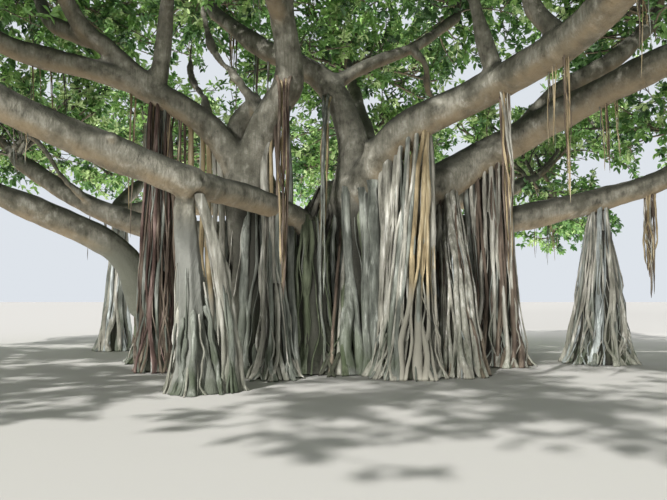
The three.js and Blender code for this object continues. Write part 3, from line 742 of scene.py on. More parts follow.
def mesh_from(name, points, faces, picks, looks, smooth=True):
    """A mesh from points and from arrays of faces, each with its own number of corners."""
    sizes = np.concatenate([np.full(len(group), group.shape[1]) for group in faces])
    corners = np.concatenate([group.ravel() for group in faces])
    mesh = bpy.data.meshes.new(name)
    mesh.vertices.add(len(points))
    mesh.vertices.foreach_set("co", points.astype(np.float32).ravel())
    mesh.loops.add(len(corners))
    mesh.loops.foreach_set("vertex_index", corners.astype(np.int32))
    mesh.polygons.add(len(sizes))
    mesh.polygons.foreach_set("loop_start", (np.cumsum(sizes) - sizes).astype(np.int32))
    for look in looks:
        mesh.materials.append(look)
    mesh.polygons.foreach_set("material_index", np.asarray(picks, np.int32))
    mesh.polygons.foreach_set("use_smooth", np.full(len(sizes), smooth))
    mesh.update(calc_edges=True)
    mesh.validate()
    return mesh


def add_piece(name, mesh, slot, *nodes):
    """A piece of the tree that takes the place of these nodes."""
    piece = bpy.data.objects.new(name, mesh)
    bpy.context.scene.collection.objects.link(piece)
    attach(piece, "root")
    if nodes:
        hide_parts(*nodes)


# Spines


def curve_through(corners):
    """Points on a centripetal Catmull-Rom curve through a limb's points."""
    p = np.vstack([2 * corners[0] - corners[1], corners, 2 * corners[-1] - corners[-2]])
    gaps = np.sqrt(np.linalg.norm(np.diff(p, axis=0), axis=1))
    share = np.linspace(0, 1, CURVE_STEPS, endpoint=False)[:, None]
    stretches = []
    for a, b, c, d, before, here, after in zip(p, p[1:], p[2:], p[3:], gaps, gaps[1:], gaps[2:]):
        start = (b - a) / before - (c - a) / (before + here) + (c - b) / here
        end = (c - b) / here - (d - b) / (here + after) + (d - c) / after
        start, end = start * here, end * here
        square = -3 * b + 3 * c - 2 * start - end
        cube = 2 * b - 2 * c + start + end
        stretches.append(b + start * share + square * share**2 + cube * share**3)
    return np.vstack(stretches + [corners[-1:]])


def evenly(points, count):
    """Points spaced evenly along a path, and their distances along it."""
    lengths = lengths_along(points)
    along = np.linspace(0, lengths[-1], count)
    return np.stack([np.interp(along, lengths, points[:, k]) for k in range(3)], axis=1), along


def spine_of(name, limb):
    points, along = evenly(curve_through(np.array(limb.at, float)), SPINE_STEPS + 1)
    flare = 0 if any(name in pair for pair in BENDS.values()) else FLARE
    radius = mix(*limb.girth, along / along[-1]) * (1 + flare * np.exp(-along / FLARE_LENGTH))
    return Spine(points, radius, along)


def stem_of(mass):
    """The stem that carries a limb on into its mass, as a path and its radii."""
    spine = spines[mass.limb]
    tip, radius = spine.points[-1], spine.radius[-1]
    bend = tip + unit(tip - spine.points[-3]) * radius * STEM_LEAD
    hub = mix(bend, np.array(mass.middle), STEM_SHARE)
    share = np.linspace(0, 1, STEM_STEPS)[:, None]
    return bent(tip, bend, hub, share), mix(radius, STEM_TIP, share[:, 0] ** STEM_TAPER)


def with_stem(name):
    """A limb's spine and the stem of its mass as one path."""
    points, radius = spines[name].points, spines[name].radius
    for mass in MASSES:
        if mass.limb == name:
            path, radii = stem_of(mass)
            points = np.vstack([points, path[1:]])
            radius = np.concatenate([radius, radii[1:]])
    return Spine(points, radius, lengths_along(points))


spines = {name: spine_of(name, limb) for name, limb in LIMBS.items()}
paths = {name: with_stem(name) for name in spines}


# Columns


def column_points(column, share, angle, scale=1.0, swell=0.0):
    """Points on a fluted column, at shares of its height and at angles around it."""
    foot_girth, knee_girth, head_girth = column.girth
    lean = np.maximum(share, 0) ** column.lean
    low = mix(foot_girth, knee_girth, np.clip(share / KNEE, 0, 1) ** FOOT_FLARE)
    radius = np.where(share < KNEE, low, mix(knee_girth, head_girth, (share - KNEE) / (1 - KNEE)))
    depth = GROOVE_DEPTH * (1 - GROOVE_FADE * share)
    reach = radius * (1 - depth * (1 - np.cos(column.ridges * angle))) * scale + swell
    turned = angle + column.twist * share
    x = mix(column.foot[0], column.head[0], lean) + reach * np.sin(turned)
    y = mix(column.foot[1], column.head[1], lean) - reach * np.cos(turned)
    return np.stack([x, y, column.head[2] * share + 0 * angle], axis=-1)


def column_rings(column):
    """The wood inside a column, from below the ground to a round head."""
    sides = column.ridges * SIDES_PER_RIDGE
    angles = np.arange(sides) * FULL_TURN / sides
    shares = np.linspace(0, column.top, COLUMN_RINGS)[:, None]
    body = column_points(column, shares, angles[None], column.core)
    middle = body[-1].mean(axis=0)
    radius = np.linalg.norm(body[-1] - middle, axis=1).mean()
    dome = [mix(middle, body[-1], width) + UP * radius * rise for width, rise in HEAD_DOME]
    return np.stack([body[0] - UP * BELOW_GROUND, *body, *dome])[None]


# Fused wood


def limb_rings(name):
    """A limb's skin. One that leaves the trunk or the left stem first rises inside it."""
    points, radius = paths[name].points, paths[name].radius
    if LIMBS[name].parent in ("trunk", "stem_left"):
        share = np.linspace(1, 0, TAIL_STEPS, endpoint=False)[:, None]
        corner = points[0] - unit(points[1] - points[0]) * radius[0]
        end = np.array([*corner[:2], max(corner[2] - TAIL_LENGTH, TAIL_FLOOR)])
        points = np.vstack([bent(points[0], corner, end, share), points])
        radius = np.concatenate([radius[0] * mix(1, TAIL_TIP, share[:, 0]), radius])
    return tube_rings(points[None], radius[None], LIMB_SIDES)


def bend_rings(names):
    """A tube round the bend where two limbs start."""
    first, second = (paths[name] for name in names)
    a = np.searchsorted(first.along, BEND_LENGTH)
    b = np.searchsorted(second.along, BEND_LENGTH)
    share = np.linspace(0, 1, STEM_STEPS)
    corner = (first.points[0] + second.points[0]) / 2
    path = bent(first.points[a], corner, second.points[b], share[:, None])
    return tube_rings(path[None], mix(first.radius[a], second.radius[b], share)[None], LIMB_SIDES)


def branch_rings(girth, at):
    points, _ = evenly(curve_through(np.array(at)), STEM_STEPS)
    return tube_rings(points[None], np.linspace(*girth, STEM_STEPS)[None], BRANCH_SIDES)


def knot_rings(limb, share, towards, girth, height):
    """A stub where a branch was lost."""
    path = paths[limb]
    k = int(share * SPINE_STEPS)
    out = unit(np.array(towards, float)) * (path.radius[k] + height)
    steps = np.array(KNOT_SHARES)[:, None]
    return tube_rings((path.points[k] + out * steps)[None], girth * np.array([KNOT_GIRTHS]), LIMB_SIDES)


def limb_grain(points, names):
    """For each point, how many radii it is from the nearest of these limbs, and where across and along it."""
    nearest = np.full(len(points), np.inf)
    grain = np.zeros_like(points)
    for path in (paths[name] for name in names):
        middles = path.points
        along, across, other = frames_along(middles)
        squares = (points**2).sum(axis=1)[:, None] + (middles**2).sum(axis=1) - 2 * points @ middles.T
        k = squares.argmin(axis=1)
        offset = points - middles[k]
        ahead = (offset * along[k]).sum(axis=1)
        away = np.linalg.norm(offset - ahead[:, None] * along[k], axis=1)
        past = np.maximum(0, np.sqrt(np.maximum(squares.min(axis=1), 0)) - away)
        away = np.hypot(away, past * PAST_END) / path.radius[k]
        closer = away < nearest
        parts = [(offset * across[k]).sum(axis=1), (offset * other[k]).sum(axis=1), path.along[k] + ahead]
        grain[closer] = np.stack(parts, axis=1)[closer]
        nearest[closer] = away[closer]
    return nearest, grain


def layered(layers, points):
    """Layers of noise on top of each other."""
    return sum(depth * noise(points * fineness, seed) for depth, fineness, seed in layers)


def relief(points, names):
    """How far the bark stands out: lumps, and long flutes that follow a limb or run down the trunk."""
    nearest, grain = limb_grain(points, names)
    on_limb = smooth_step((LIMB_REACH - nearest) / LIMB_FADE)
    flutes = mix(layered(TRUNK_FLUTES, points), layered(LIMB_FLUTES, grain), on_limb)
    return layered(LUMPS, points) + flutes


def smoothed(points, edges, rounds):
    """Points moved towards the mean of their neighbours and most of the way back, so that nothing shrinks."""
    count = np.bincount(edges.ravel(), minlength=len(points))[:, None]
    for step in range(rounds):
        total = np.zeros_like(points)
        for k in range(3):
            total[:, k] += np.bincount(edges[:, 0], points[edges[:, 1], k], len(points))
            total[:, k] += np.bincount(edges[:, 1], points[edges[:, 0], k], len(points))
        points = mix(points, total / count, SMOOTH_IN if step % 2 == 0 else SMOOTH_OUT)
    return points


def applied(mesh, kind, **settings):
    """The mesh with one modifier applied."""
    piece = bpy.data.objects.new("work", mesh)
    bpy.context.scene.collection.objects.link(piece)
    modifier = piece.modifiers.new("work", kind)
    for key, value in settings.items():
        setattr(modifier, key, value)
    done = bpy.data.meshes.new_from_object(piece.evaluated_get(bpy.context.evaluated_depsgraph_get()))
    bpy.data.objects.remove(piece)
    return done


def numbers_of(collection, key, width, kind=np.float64):
    values = np.empty(len(collection) * width, kind)
    collection.foreach_get(key, values)
    return values.reshape(-1, width)


def fused_wood(name, skins, names, voxel, look):
    """Overlapping tubes made one, with rounded crotches and the bark's relief, cut flat at the ground."""
    mesh = applied(skins.mesh(name), "REMESH", mode="VOXEL", voxel_size=voxel)
    edges = numbers_of(mesh.edges, "vertices", 2, np.int32)
    points = smoothed(numbers_of(mesh.vertices, "co", 3), edges, SMOOTHINGS)
    mesh.vertices.foreach_set("co", points.ravel())
    mesh.update()
    points += numbers_of(mesh.vertex_normals, "vector", 3) * relief(points, names)[:, None]
    mesh.vertices.foreach_set("co", points.ravel())
    triangles = len(mesh.polygons) * 2
    if triangles > MOST_TRIANGLES:
        mesh = applied(mesh, "DECIMATE", ratio=MOST_TRIANGLES / triangles)
    work = bmesh.new()
    work.from_mesh(mesh)
    everything = [*work.verts, *work.edges, *work.faces]
    bmesh.ops.bisect_plane(work, geom=everything, plane_co=(0, 0, 0), plane_no=(0, 0, 1), clear_inner=True)
    bmesh.ops.holes_fill(work, edges=[edge for edge in work.edges if edge.is_boundary], sides=0)
    for face in work.faces:
        face.smooth = True
    work.to_mesh(mesh)
    work.free()
    mesh.name = name
    mesh.materials.clear()
    mesh.materials.append(look)
    _, grain = limb_grain(numbers_of(mesh.vertices, "co", 3), names)
    attribute = mesh.attributes.new("grain", "FLOAT_VECTOR", "POINT")
    attribute.data.foreach_set("vector", grain.astype(np.float32).ravel())
    return mesh


# Strands of roots


def waves(rng, share, count, strength, turns):
    """A slow wander for each of many strands."""
    total = np.zeros((count, len(share)))
    for k in WAVE_STEPS:
        phase = rng.uniform(0, FULL_TURN, (count, 1))
        total += np.sin(share * turns * k * math.pi + phase) * strength / k
    return total


def dealt(looks, count, rng):
    """One of these looks for each of many strands."""
    return np.array(looks)[rng.integers(0, len(looks), count)]


def held_up(rings):
    """Rings with nothing below the ground."""
    rings[..., 2] = np.maximum(rings[..., 2], 0)
    return rings


def wavy_foot(share, wavy, swell, reach):
    """How thick roots are along their length: uneven, and thicker at the foot."""
    return 1 + wavy + swell * np.maximum(0, 1 - share / reach)


def rooted(path, radii, sides):
    """Tubes that stand on the ground, each drawn from a little below it and then held up to it."""
    path = np.concatenate([path[:, :1] - UP * ROOT_DEPTH, path], axis=1)
    radii = np.concatenate([radii[:, :1], radii], axis=1)
    return held_up(tube_rings(path, radii, sides))


def anchors_for(column, roots, angle):
    """Where each root leaves the limb above, in order round the column."""
    spine = spines[roots.limb]
    along, _, _ = frames_along(spine.points)
    nearest = np.linalg.norm(spine.points - np.array(column.head), axis=1).argmin()
    ahead = unit(along[nearest] * LEVEL)
    aside = np.cross(UP, ahead)
    turned = angle + column.twist
    out = np.stack([np.sin(turned), -np.cos(turned), np.zeros(len(angle))], axis=1)
    steps = np.rint(out @ ahead * roots.spread / spine.along[1]).astype(int)
    k = np.clip(nearest + steps, 0, SPINE_STEPS)
    sideways = out @ aside
    across = (sideways * spine.radius[k] * ANCHOR_ASIDE)[:, None] * aside
    down = spine.radius[k] * (ANCHOR_DROP[0] - ANCHOR_DROP[1] * np.abs(sideways))
    return spine.points[k] + across - UP * down[:, None]


def add_strands(skins, column, roots, rng):
    """The thick roots of a column, thinner ones over them, and short ones at its foot."""
    for kind, count in zip((THICK, MIDDLE, THIN), roots.counts):
        add_roots(skins, column, roots, kind, count, roots.scale if kind is THICK else roots.slim, rng)
    add_toes(skins, column, roots, rng)


def add_roots(skins, column, roots, kind, count, scale, rng):
    """Roots that run down a column in and out of its surface, and bunch and part towards its foot."""
    share = np.linspace(0, 1, kind.rings)
    angle = (np.arange(count) + rng.uniform(-UNEVEN, UNEVEN, count)) * FULL_TURN / count
    girth = mix(*kind.girth, rng.uniform(0, 1, (count, 1)) ** SLIM_POWER) * scale
    top = rng.uniform(*roots.tops, count)
    level = share * top[:, None]
    loose = mix(*LOOSENESS, smooth_step(level / LOOSE_TOP)) * kind.wander / max(column.girth[1], SLIM_COLUMN)
    bunch = np.sin(angle[:, None] * column.ridges + waves(rng, share, 1, *BUNCH_WAVES))
    stray = (BUNCHING * bunch + waves(rng, share, count, 1.0, kind.turns)) * (loose * top[:, None])
    turn = angle[:, None] + stray + rng.uniform(-1, 1, (count, 1)) * kind.slant * (1 - level)
    stands = mix(*kind.stands, rng.uniform(0, 1, (count, 1)))
    swell = girth * (stands + waves(rng, share, count, *DEPTH_WAVES))
    path = column_points(column, level, turn, 1.0, swell)
    if roots.limb:
        shift = anchors_for(column, roots, angle) - column_points(column, 1.0, turn[:, -1], 1.0, swell[:, -1])
        low, high = roots.gather
        path = path + shift[:, None] * smooth_step((level - low) / (high - low))[..., None]
    radii = girth * wavy_foot(share, waves(rng, share, count, *GIRTH_WAVES), *ROOT_FOOT)
    radii = radii * mix(1, HEAD_GIRTH, share)
    radii[:, -1] *= HEAD_END
    sinks = np.where(top < SINK_BELOW, 1.0, 0.0)[:, None]
    sunk = girth * sinks * smooth_step((share - SINK_SHARE) / (1 - SINK_SHARE))
    middle = column_points(column, level, turn, 0.0)
    path = path + unit(middle - path) * sunk[..., None] * SINK_DEPTH
    looks = dealt(roots.looks, count, rng)
    if roots.right_look is not None:
        on_right = np.sin(angle + column.twist) > RIGHT_SIDE
        looks[on_right & (rng.uniform(0, 1, count) < RIGHT_SHARE)] = roots.right_look
    skins.add(rooted(path, radii, kind.sides), looks)


def add_toes(skins, column, roots, rng):
    """Short roots that leave the foot of a column and run out into the ground."""
    count = roots.toes
    share = np.linspace(0, 1, TOE_RINGS)
    angle = rng.uniform(0, FULL_TURN, count)
    level = rng.uniform(*TOE_RISE, (count, 1)) * share
    girth = rng.uniform(*TOE_GIRTH, (count, 1)) * roots.scale
    turn = angle[:, None] + rng.uniform(-TOE_TURN, TOE_TURN, (count, 1)) * (1 - share)
    swell = mix(rng.uniform(*TOE_SWELL, (count, 1)), 0, share**TOE_POWER) - girth * TOE_SINK * share
    radii = girth * mix(*TOE_TAPER, share)
    radii[:, -1] *= TOE_END
    looks = dealt(roots.looks, count, rng)
    skins.add(rooted(column_points(column, level, turn, 1.0, swell), radii, TOE_SIDES), looks)


def add_hanging(skins, head, tip, width, count, girths, looks, rng, rings=BUNDLE_RINGS):
    """A bundle of thin roots that hang from a limb and end at different heights."""
    share = np.linspace(0, 1, rings)
    reach = rng.uniform(SHORTEST_REACH, 1, count)[:, None]
    reach[0] = 1
    level = share * reach
    drift = np.sqrt(level)[..., None] * LEVEL + level[..., None] * UP
    width = width * np.interp(level, np.linspace(0, 1, len(HANGING_GIRTHS)), HANGING_GIRTHS)
    width = width * (1 + HEAD_SPREAD * np.exp(-level / HEAD_LENGTH)) * np.sqrt(rng.uniform(0, 1, (count, 1)))
    turn = rng.uniform(0, FULL_TURN, (count, 1)) + waves(rng, share, count, *BUNDLE_WAVES)
    turn = turn + BUNDLE_TWIST * level
    offset = np.stack([np.cos(turn), np.sin(turn), 0 * turn], axis=-1) * width[..., None]
    radii = rng.uniform(*girths, (count, 1)) * (1 + waves(rng, share, count, *THREAD_WAVES))
    radii = radii * mix(1, THREAD_TIP, share)
    radii[:, -1] *= THREAD_END
    path = np.array(head) + (np.array(tip) - np.array(head)) * drift + offset
    skins.add(tube_rings(path, radii, BUNDLE_SIDES), dealt(looks, count, rng))


def add_strings(skins, limb, start, longest, count, girth, rng):
    """Pairs of thin roots under a limb."""
    spine = paths[limb]
    for _ in range(count):
        stray = rng.uniform(-STRING_STRAY, STRING_STRAY)
        k = int(np.clip(start * SPINE_STEPS + stray, 1, SPINE_STEPS))
        head = spine.points[k] - UP * spine.radius[k] * STRING_SINK
        head = head + rng.uniform(-STRING_SCATTER, STRING_SCATTER, 3) * LEVEL
        drop = longest * rng.uniform(SHORTEST_STRING, 1)
        tip = head + rng.uniform(-STRING_SWAY, STRING_SWAY, 3) * LEVEL - UP * drop
        tip[2] = max(tip[2], LOWEST_TIP)
        girths = (girth * SLIMMEST_STRING, girth)
        add_hanging(skins, head, tip, STRING_WIDTH, 2, girths, STRING_LOOKS, rng, STRING_RINGS)


def add_drop_root(skins, limb, start, towards, foot, girth, look, rng):
    """A single root that runs from a limb to the ground."""
    share = np.linspace(0, 1, DROP_RINGS)
    k = int(start * SPINE_STEPS)
    head = paths[limb].points[k] + np.array([*towards, -DROP_SINK]) * paths[limb].radius[k]
    hang = mix(np.array([*foot, 0]), head, share[:, None])
    x, y = waves(rng, share, 1, *DROP_WAVES)[0], waves(rng, share, 1, *DROP_WAVES)[0]
    path = hang + np.stack([x, y, 0 * share], axis=1) * np.sin(share * math.pi)[:, None]
    radii = girth * wavy_foot(share, waves(rng, share, 1, *DROP_GIRTH_WAVES), *DROP_FOOT)
    radii[:, -1] *= DROP_HEAD
    skins.add(rooted(path[None], radii, THICK.sides), look)


# Foliage


def halton(numbers, base):
    """Numbers of the Halton sequence with this base."""
    value = np.zeros(len(numbers))
    share = 1.0
    rest = numbers.copy()
    while rest.any():
        share /= base
        value += share * (rest % base)
        rest //= base
    return value


def share_of(points, mass):
    """How far points are from the middle of a mass, squared, where 1 is on the outline of its ellipsoid."""
    return (((points - np.array(mass.middle)) / MASS_REACH) ** 2).sum(axis=1)


def in_space(points, mass):
    """Which points are in a mass's own space: over the crown's underside and up to its neighbours."""
    share = share_of(points, mass)
    away = np.hypot(points[:, 0], points[:, 1]) / FLOOR_RADIUS
    floor = FLOOR_MIDDLE - FLOOR_DROP * away**FLOOR_POWER - mass.droop
    inside = (share <= 1) & (points[:, 2] >= floor)
    for other in MASSES:
        if other is not mass:
            inside &= share < share_of(points, other)
    return inside


def in_box(points, mass):
    """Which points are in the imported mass's box, or close to it."""
    low, high = (np.array(corner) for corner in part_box(mass.name))
    return ((points > low - BOX_MARGIN) & (points < high + BOX_MARGIN)).all(axis=1)


def targets_in(mass, level):
    """Points that twigs grow towards, spread evenly through the mass's space."""
    numbers = np.arange(1, MOST_TRIES) + level.stream + MASS_STRIDE * MASSES.index(mass)
    cube = np.stack([2 * halton(numbers, base) - 1 for base in TARGET_BASES], axis=1)
    points = cube * MASS_REACH + np.array(mass.middle)
    share = share_of(points, mass)
    low, high = level.shell
    return points[(share >= low) & (share <= high) & in_space(points, mass) & in_box(points, mass)]


def meets_limb(path):
    """Whether a twig runs into a limb away from its own start."""
    ahead = path[2:]
    for spine in paths.values():
        gap = np.linalg.norm(ahead[:, None] - spine.points[None], axis=2) - spine.radius[None]
        if gap.min() < TWIG_GAP:
            return True
    return False


def bent_twig(start, ahead, target):
    """A twig's path: out along its parent, then round towards its target."""
    reach = np.linalg.norm(target - start)
    bend = start + mix(unit(target - start), ahead, TWIG_AHEAD) * reach * TWIG_BEND + UP * reach * TWIG_RISE
    return bent(start, bend, target, np.linspace(0, 1, TWIG_STEPS)[:, None])


def grow_level(mass, level, places):
    """Twigs from these places to the level's targets, and the places that they offer to the next level."""
    twigs, offered = [], []
    for target in targets_in(mass, level):
        if len(twigs) >= level.most * mass.twigs or not places:
            break
        cost = [np.linalg.norm(p - target) + LENGTH_COST * along for p, _, along in places]
        start, ahead, along = places[int(np.argmin(cost))]
        if np.linalg.norm(target - start) < SHORTEST_TWIG:
            continue
        path = bent_twig(start, ahead, target)
        if meets_limb(path):
            continue
        del places[int(np.argmin(cost))]
        twigs.append(path)
        for share in np.linspace(FIRST_PLACE, 1, level.places):
            at = share * (TWIG_STEPS - 1)
            k = min(int(at), TWIG_STEPS - 2)
            point = mix(path[k], path[k + 1], at - k)
            reach = along + share * np.linalg.norm(target - start)
            offered.append((point, unit(path[k + 1] - path[k]), reach))
    return twigs, offered


def heading_of(weights, *ways):
    """A direction mixed from others."""
    return unit(sum(weight * way for weight, way in zip(weights, ways)))


def fine_twigs(mass, twigs, rng):
    """Short twigs all along the outer part of larger ones, as their starts and ends."""
    twigs = np.array(twigs)
    at = rng.uniform(FINE_START, 1, (len(twigs), FINE_TWIGS)) * (TWIG_STEPS - 1)
    k = np.minimum(at.astype(int), TWIG_STEPS - 2)
    row = np.arange(len(twigs))[:, None]
    start = mix(twigs[row, k], twigs[row, k + 1], (at - k)[..., None])
    ahead = unit(twigs[row, k + 1] - twigs[row, k])
    out = unit(start - np.array(mass.middle) + UP * OUT_FROM)
    loose = unit(rng.normal(0, 1, start.shape))
    heading = heading_of(FINE_HEADING, ahead, out, loose, UP)
    length = rng.uniform(*FINE_LENGTH, at.shape)[..., None]
    start, end = start.reshape(-1, 3), (start + heading * length).reshape(-1, 3)
    kept = in_space(end, mass) & in_box(end, mass)
    return start[kept], end[kept]


def leaves_on(start, end, rng):
    """Leaves round fine twigs, thicker towards their tips, as bases, directions and faces' normals."""
    along = unit(end - start)[:, None]
    share = rng.uniform(LEAF_START, 1, (len(start), LEAVES)) ** LEAF_POWER
    base = start[:, None] + (end - start)[:, None] * share[..., None]
    loose = unit(rng.normal(0, 1, base.shape))
    heading = heading_of(LEAF_HEADING, along, loose, UP)
    facing = unit(rng.normal(0, LEAF_TILT, base.shape) + UP)
    side = unit(np.cross(heading, facing))
    facing = np.cross(side, heading)
    length = rng.uniform(*LEAF_LENGTH, base.shape[:2])[..., None]
    return [part.reshape(-1, part.shape[-1]) for part in (base, heading, side, facing, length)]


def leaf_points(base, heading, side, facing, length):
    """Six corners of each leaf: an oval folded along its midrib."""
    width = length * LEAF_WIDTH / 2
    fold = facing * width * LEAF_FOLD
    tip = base + heading * length - facing * length * LEAF_DIP
    low, high = (base + heading * length * share for share in LEAF_SHARES)
    corners = [base, low + side * width + fold, high + side * width * UPPER_WIDTH + fold, tip]
    corners += [high - side * width * UPPER_WIDTH + fold, low - side * width + fold]
    return np.stack(corners, axis=1)


LEAF_FACES = np.array([[0, 1, 2, 3], [0, 3, 4, 5]])


def grow_mass(name, mass, rng):
    """The twigs of one mass, and its leaves as a mesh with this name."""
    path, _ = stem_of(mass)
    steps = lengths_along(path)
    stops = np.linspace(FIRST_STEP, STEM_STEPS - 1, STEM_PLACES).astype(int)
    places = [(path[k], unit(path[k] - path[k - 1]), steps[k]) for k in stops]
    main, offered = grow_level(mass, MAIN_TWIGS, places)
    side, _ = grow_level(mass, SIDE_TWIGS, places + offered)
    start, end = fine_twigs(mass, main + side, rng)
    skins = Skins()
    for twigs, level in ((main, MAIN_TWIGS), (side, SIDE_TWIGS)):
        taper = np.linspace(*level.girth, TWIG_STEPS)[None].repeat(len(twigs), axis=0)
        skins.add(tube_rings(np.array(twigs), taper, level.sides))
    skins.add_spikes(start, end, FINE_GIRTH)
    corners = leaf_points(*leaves_on(start, end, rng))
    faces = np.arange(len(corners))[:, None, None] * corners.shape[1] + LEAF_FACES
    middle, by_height, by_chance = TONE
    # Higher sprays get lighter greens: painted light and shade by height, besides the tone by chance
    height = (end[:, 2] - mass.middle[2]) / MASS_REACH[2]
    tone = middle + by_height * height + rng.normal(0, by_chance, len(start))
    pick = np.clip((tone * len(leaf_looks)).astype(int), 0, len(leaf_looks) - 1)
    picks = pick.repeat(LEAVES * len(LEAF_FACES))
    faces = faces.reshape(-1, LEAF_FACES.shape[1])
    return skins, mesh_from(name, corners.reshape(-1, 3), [faces], picks, leaf_looks, smooth=False)


# Looks

FAR = 99  # beyond the whole tree
WOOD_BUMP = 0.03
ROOT_BUMP = 0.02
WRINKLE_DEPTH = 1.6
MOSS = (0.024, 0.034, 0.013)
BARK = ((0.1, 0.094, 0.07), (0.2, 0.187, 0.148), (0.3, 0.285, 0.235))
# Painted shade on the tops of the wood, and painted warm bounce light under it
PAINTED_TOP_SHADE = (0.045, 0.044, 0.034)
PAINTED_UNDER_LIGHT = (0.23, 0.172, 0.098)

# Noise in the bark: how much it is stretched along each axis, its scale, its detail, and its roughness where
# that is its own
NOISE_ROUGHNESS = 0.6
BLOTCHES = ((1, 1, 0.7), 1.7, 8.0)
WOOD_STREAKS = ((1, 1, 0.75), 5.0, 8.0)
ROOT_STREAKS = ((1, 1, 0.09), 9.0, 5.0)
FINE_GRAIN = ((1, 1, 0.5), 38.0, 4.0)
THREADS = ((1, 1, 0.05), 30.0, 3.0)
WRINKLES = ((0.8, 0.8, 9), 1.6, 5.0, 0.65)

# Where one colour gives way to another: the range of the noise or of the normal's height, and the shares at
# its ends where they aren't 0 and 1
TO_MIDDLE = (0.33, 0.62)
TO_PALE = (0.5, 0.72)
THREAD_SHADE = (0.55, 0.35, 0.0, 0.5)
# The next three lines set painted shade in the hollows of the bark's relief, where the bump is lowest, varied
# by fine noise
HOLLOWS = (0.52, 0.28)
HOLLOW_SPECKS = (0.2, 0.7, 0.6, 1.0)
DARKEST = 0.45  # of the dark colour, in the hollows
# Where the painted light under the wood and the painted shade on its top fall: by the normal's height, in
# patches
FACING_DOWN = (-0.1, -0.85)
UNDER_LIGHT_PATCHES = (0.3, 0.6, 0.25, 0.8)
FACING_UP = (0.05, 0.8)
TOP_SHADE_PATCHES = (0.25, 0.55, 0.45, 0.95)
MOSS_PATCHES = (0.38, 0.6)
MOSS_HEIGHT = (2.4, 0.1)
LOW_FADE = (0.7, 0.5)  # upwards and outwards
ROUGHNESS = (0.3, 0.7, 0.78, 0.95)
BARK_SPECULAR = 0.25
BUMP_STRENGTH = 0.6


def fill(tree, socket, value):
    """Links an input to another node's output, or gives it a plain value."""
    if isinstance(value, bpy.types.NodeSocket):
        tree.links.new(value, socket)
    else:
        socket.default_value = (*value, 1) if socket.type == "RGBA" else value


def node(tree, kind, inputs=None, **settings):
    """The outputs of a new shader node. Its inputs are given by name or number."""
    made = tree.nodes.new(kind)
    for key, value in settings.items():
        setattr(made, key, value)
    for key, value in (inputs or {}).items():
        fill(tree, made.inputs[key], value)
    return made.outputs


def noise_node(tree, place, stretch, scale, detail, roughness=NOISE_ROUGHNESS):
    stretched = node(tree, "ShaderNodeMapping", {"Vector": place, "Scale": stretch})["Vector"]
    inputs = {"Vector": stretched, "Scale": scale, "Detail": detail, "Roughness": roughness}
    return node(tree, "ShaderNodeTexNoise", inputs)["Fac"]


def ranged(tree, value, low, high, to_low=0.0, to_high=1.0):
    """A value taken smoothly from one range to another."""
    inputs = {"Value": value, "From Min": low, "From Max": high, "To Min": to_low, "To Max": to_high}
    return node(tree, "ShaderNodeMapRange", inputs, interpolation_type="SMOOTHSTEP")["Result"]


def both(tree, a, b, operation="MULTIPLY"):
    """The product or the sum of two values."""
    return node(tree, "ShaderNodeMath", {0: a, 1: b}, operation=operation)["Value"]


def blended(tree, share, below, above):
    """Two colours, each a node's output or a plain colour, mixed by a share."""
    made = tree.nodes.new("ShaderNodeMix")
    made.data_type = "RGBA"
    colours = [socket for socket in made.inputs if socket.type == "RGBA"]
    for socket, value in zip([made.inputs["Factor"], *colours], (share, below, above)):
        fill(tree, socket, value)
    return next(socket for socket in made.outputs if socket.type == "RGBA")


def new_look(name):
    look = bpy.data.materials.new(name)
    look.use_nodes = True
    return look


def surfaced(look, colour, roughness, specular):
    """The look with its colour, roughness and specular level, each a node's output or a plain value."""
    inputs = look.node_tree.nodes["Principled BSDF"].inputs
    fill(look.node_tree, inputs["Base Color"], colour)
    fill(look.node_tree, inputs["Roughness"], roughness)
    fill(look.node_tree, inputs["Specular IOR Level"], specular)
    return look


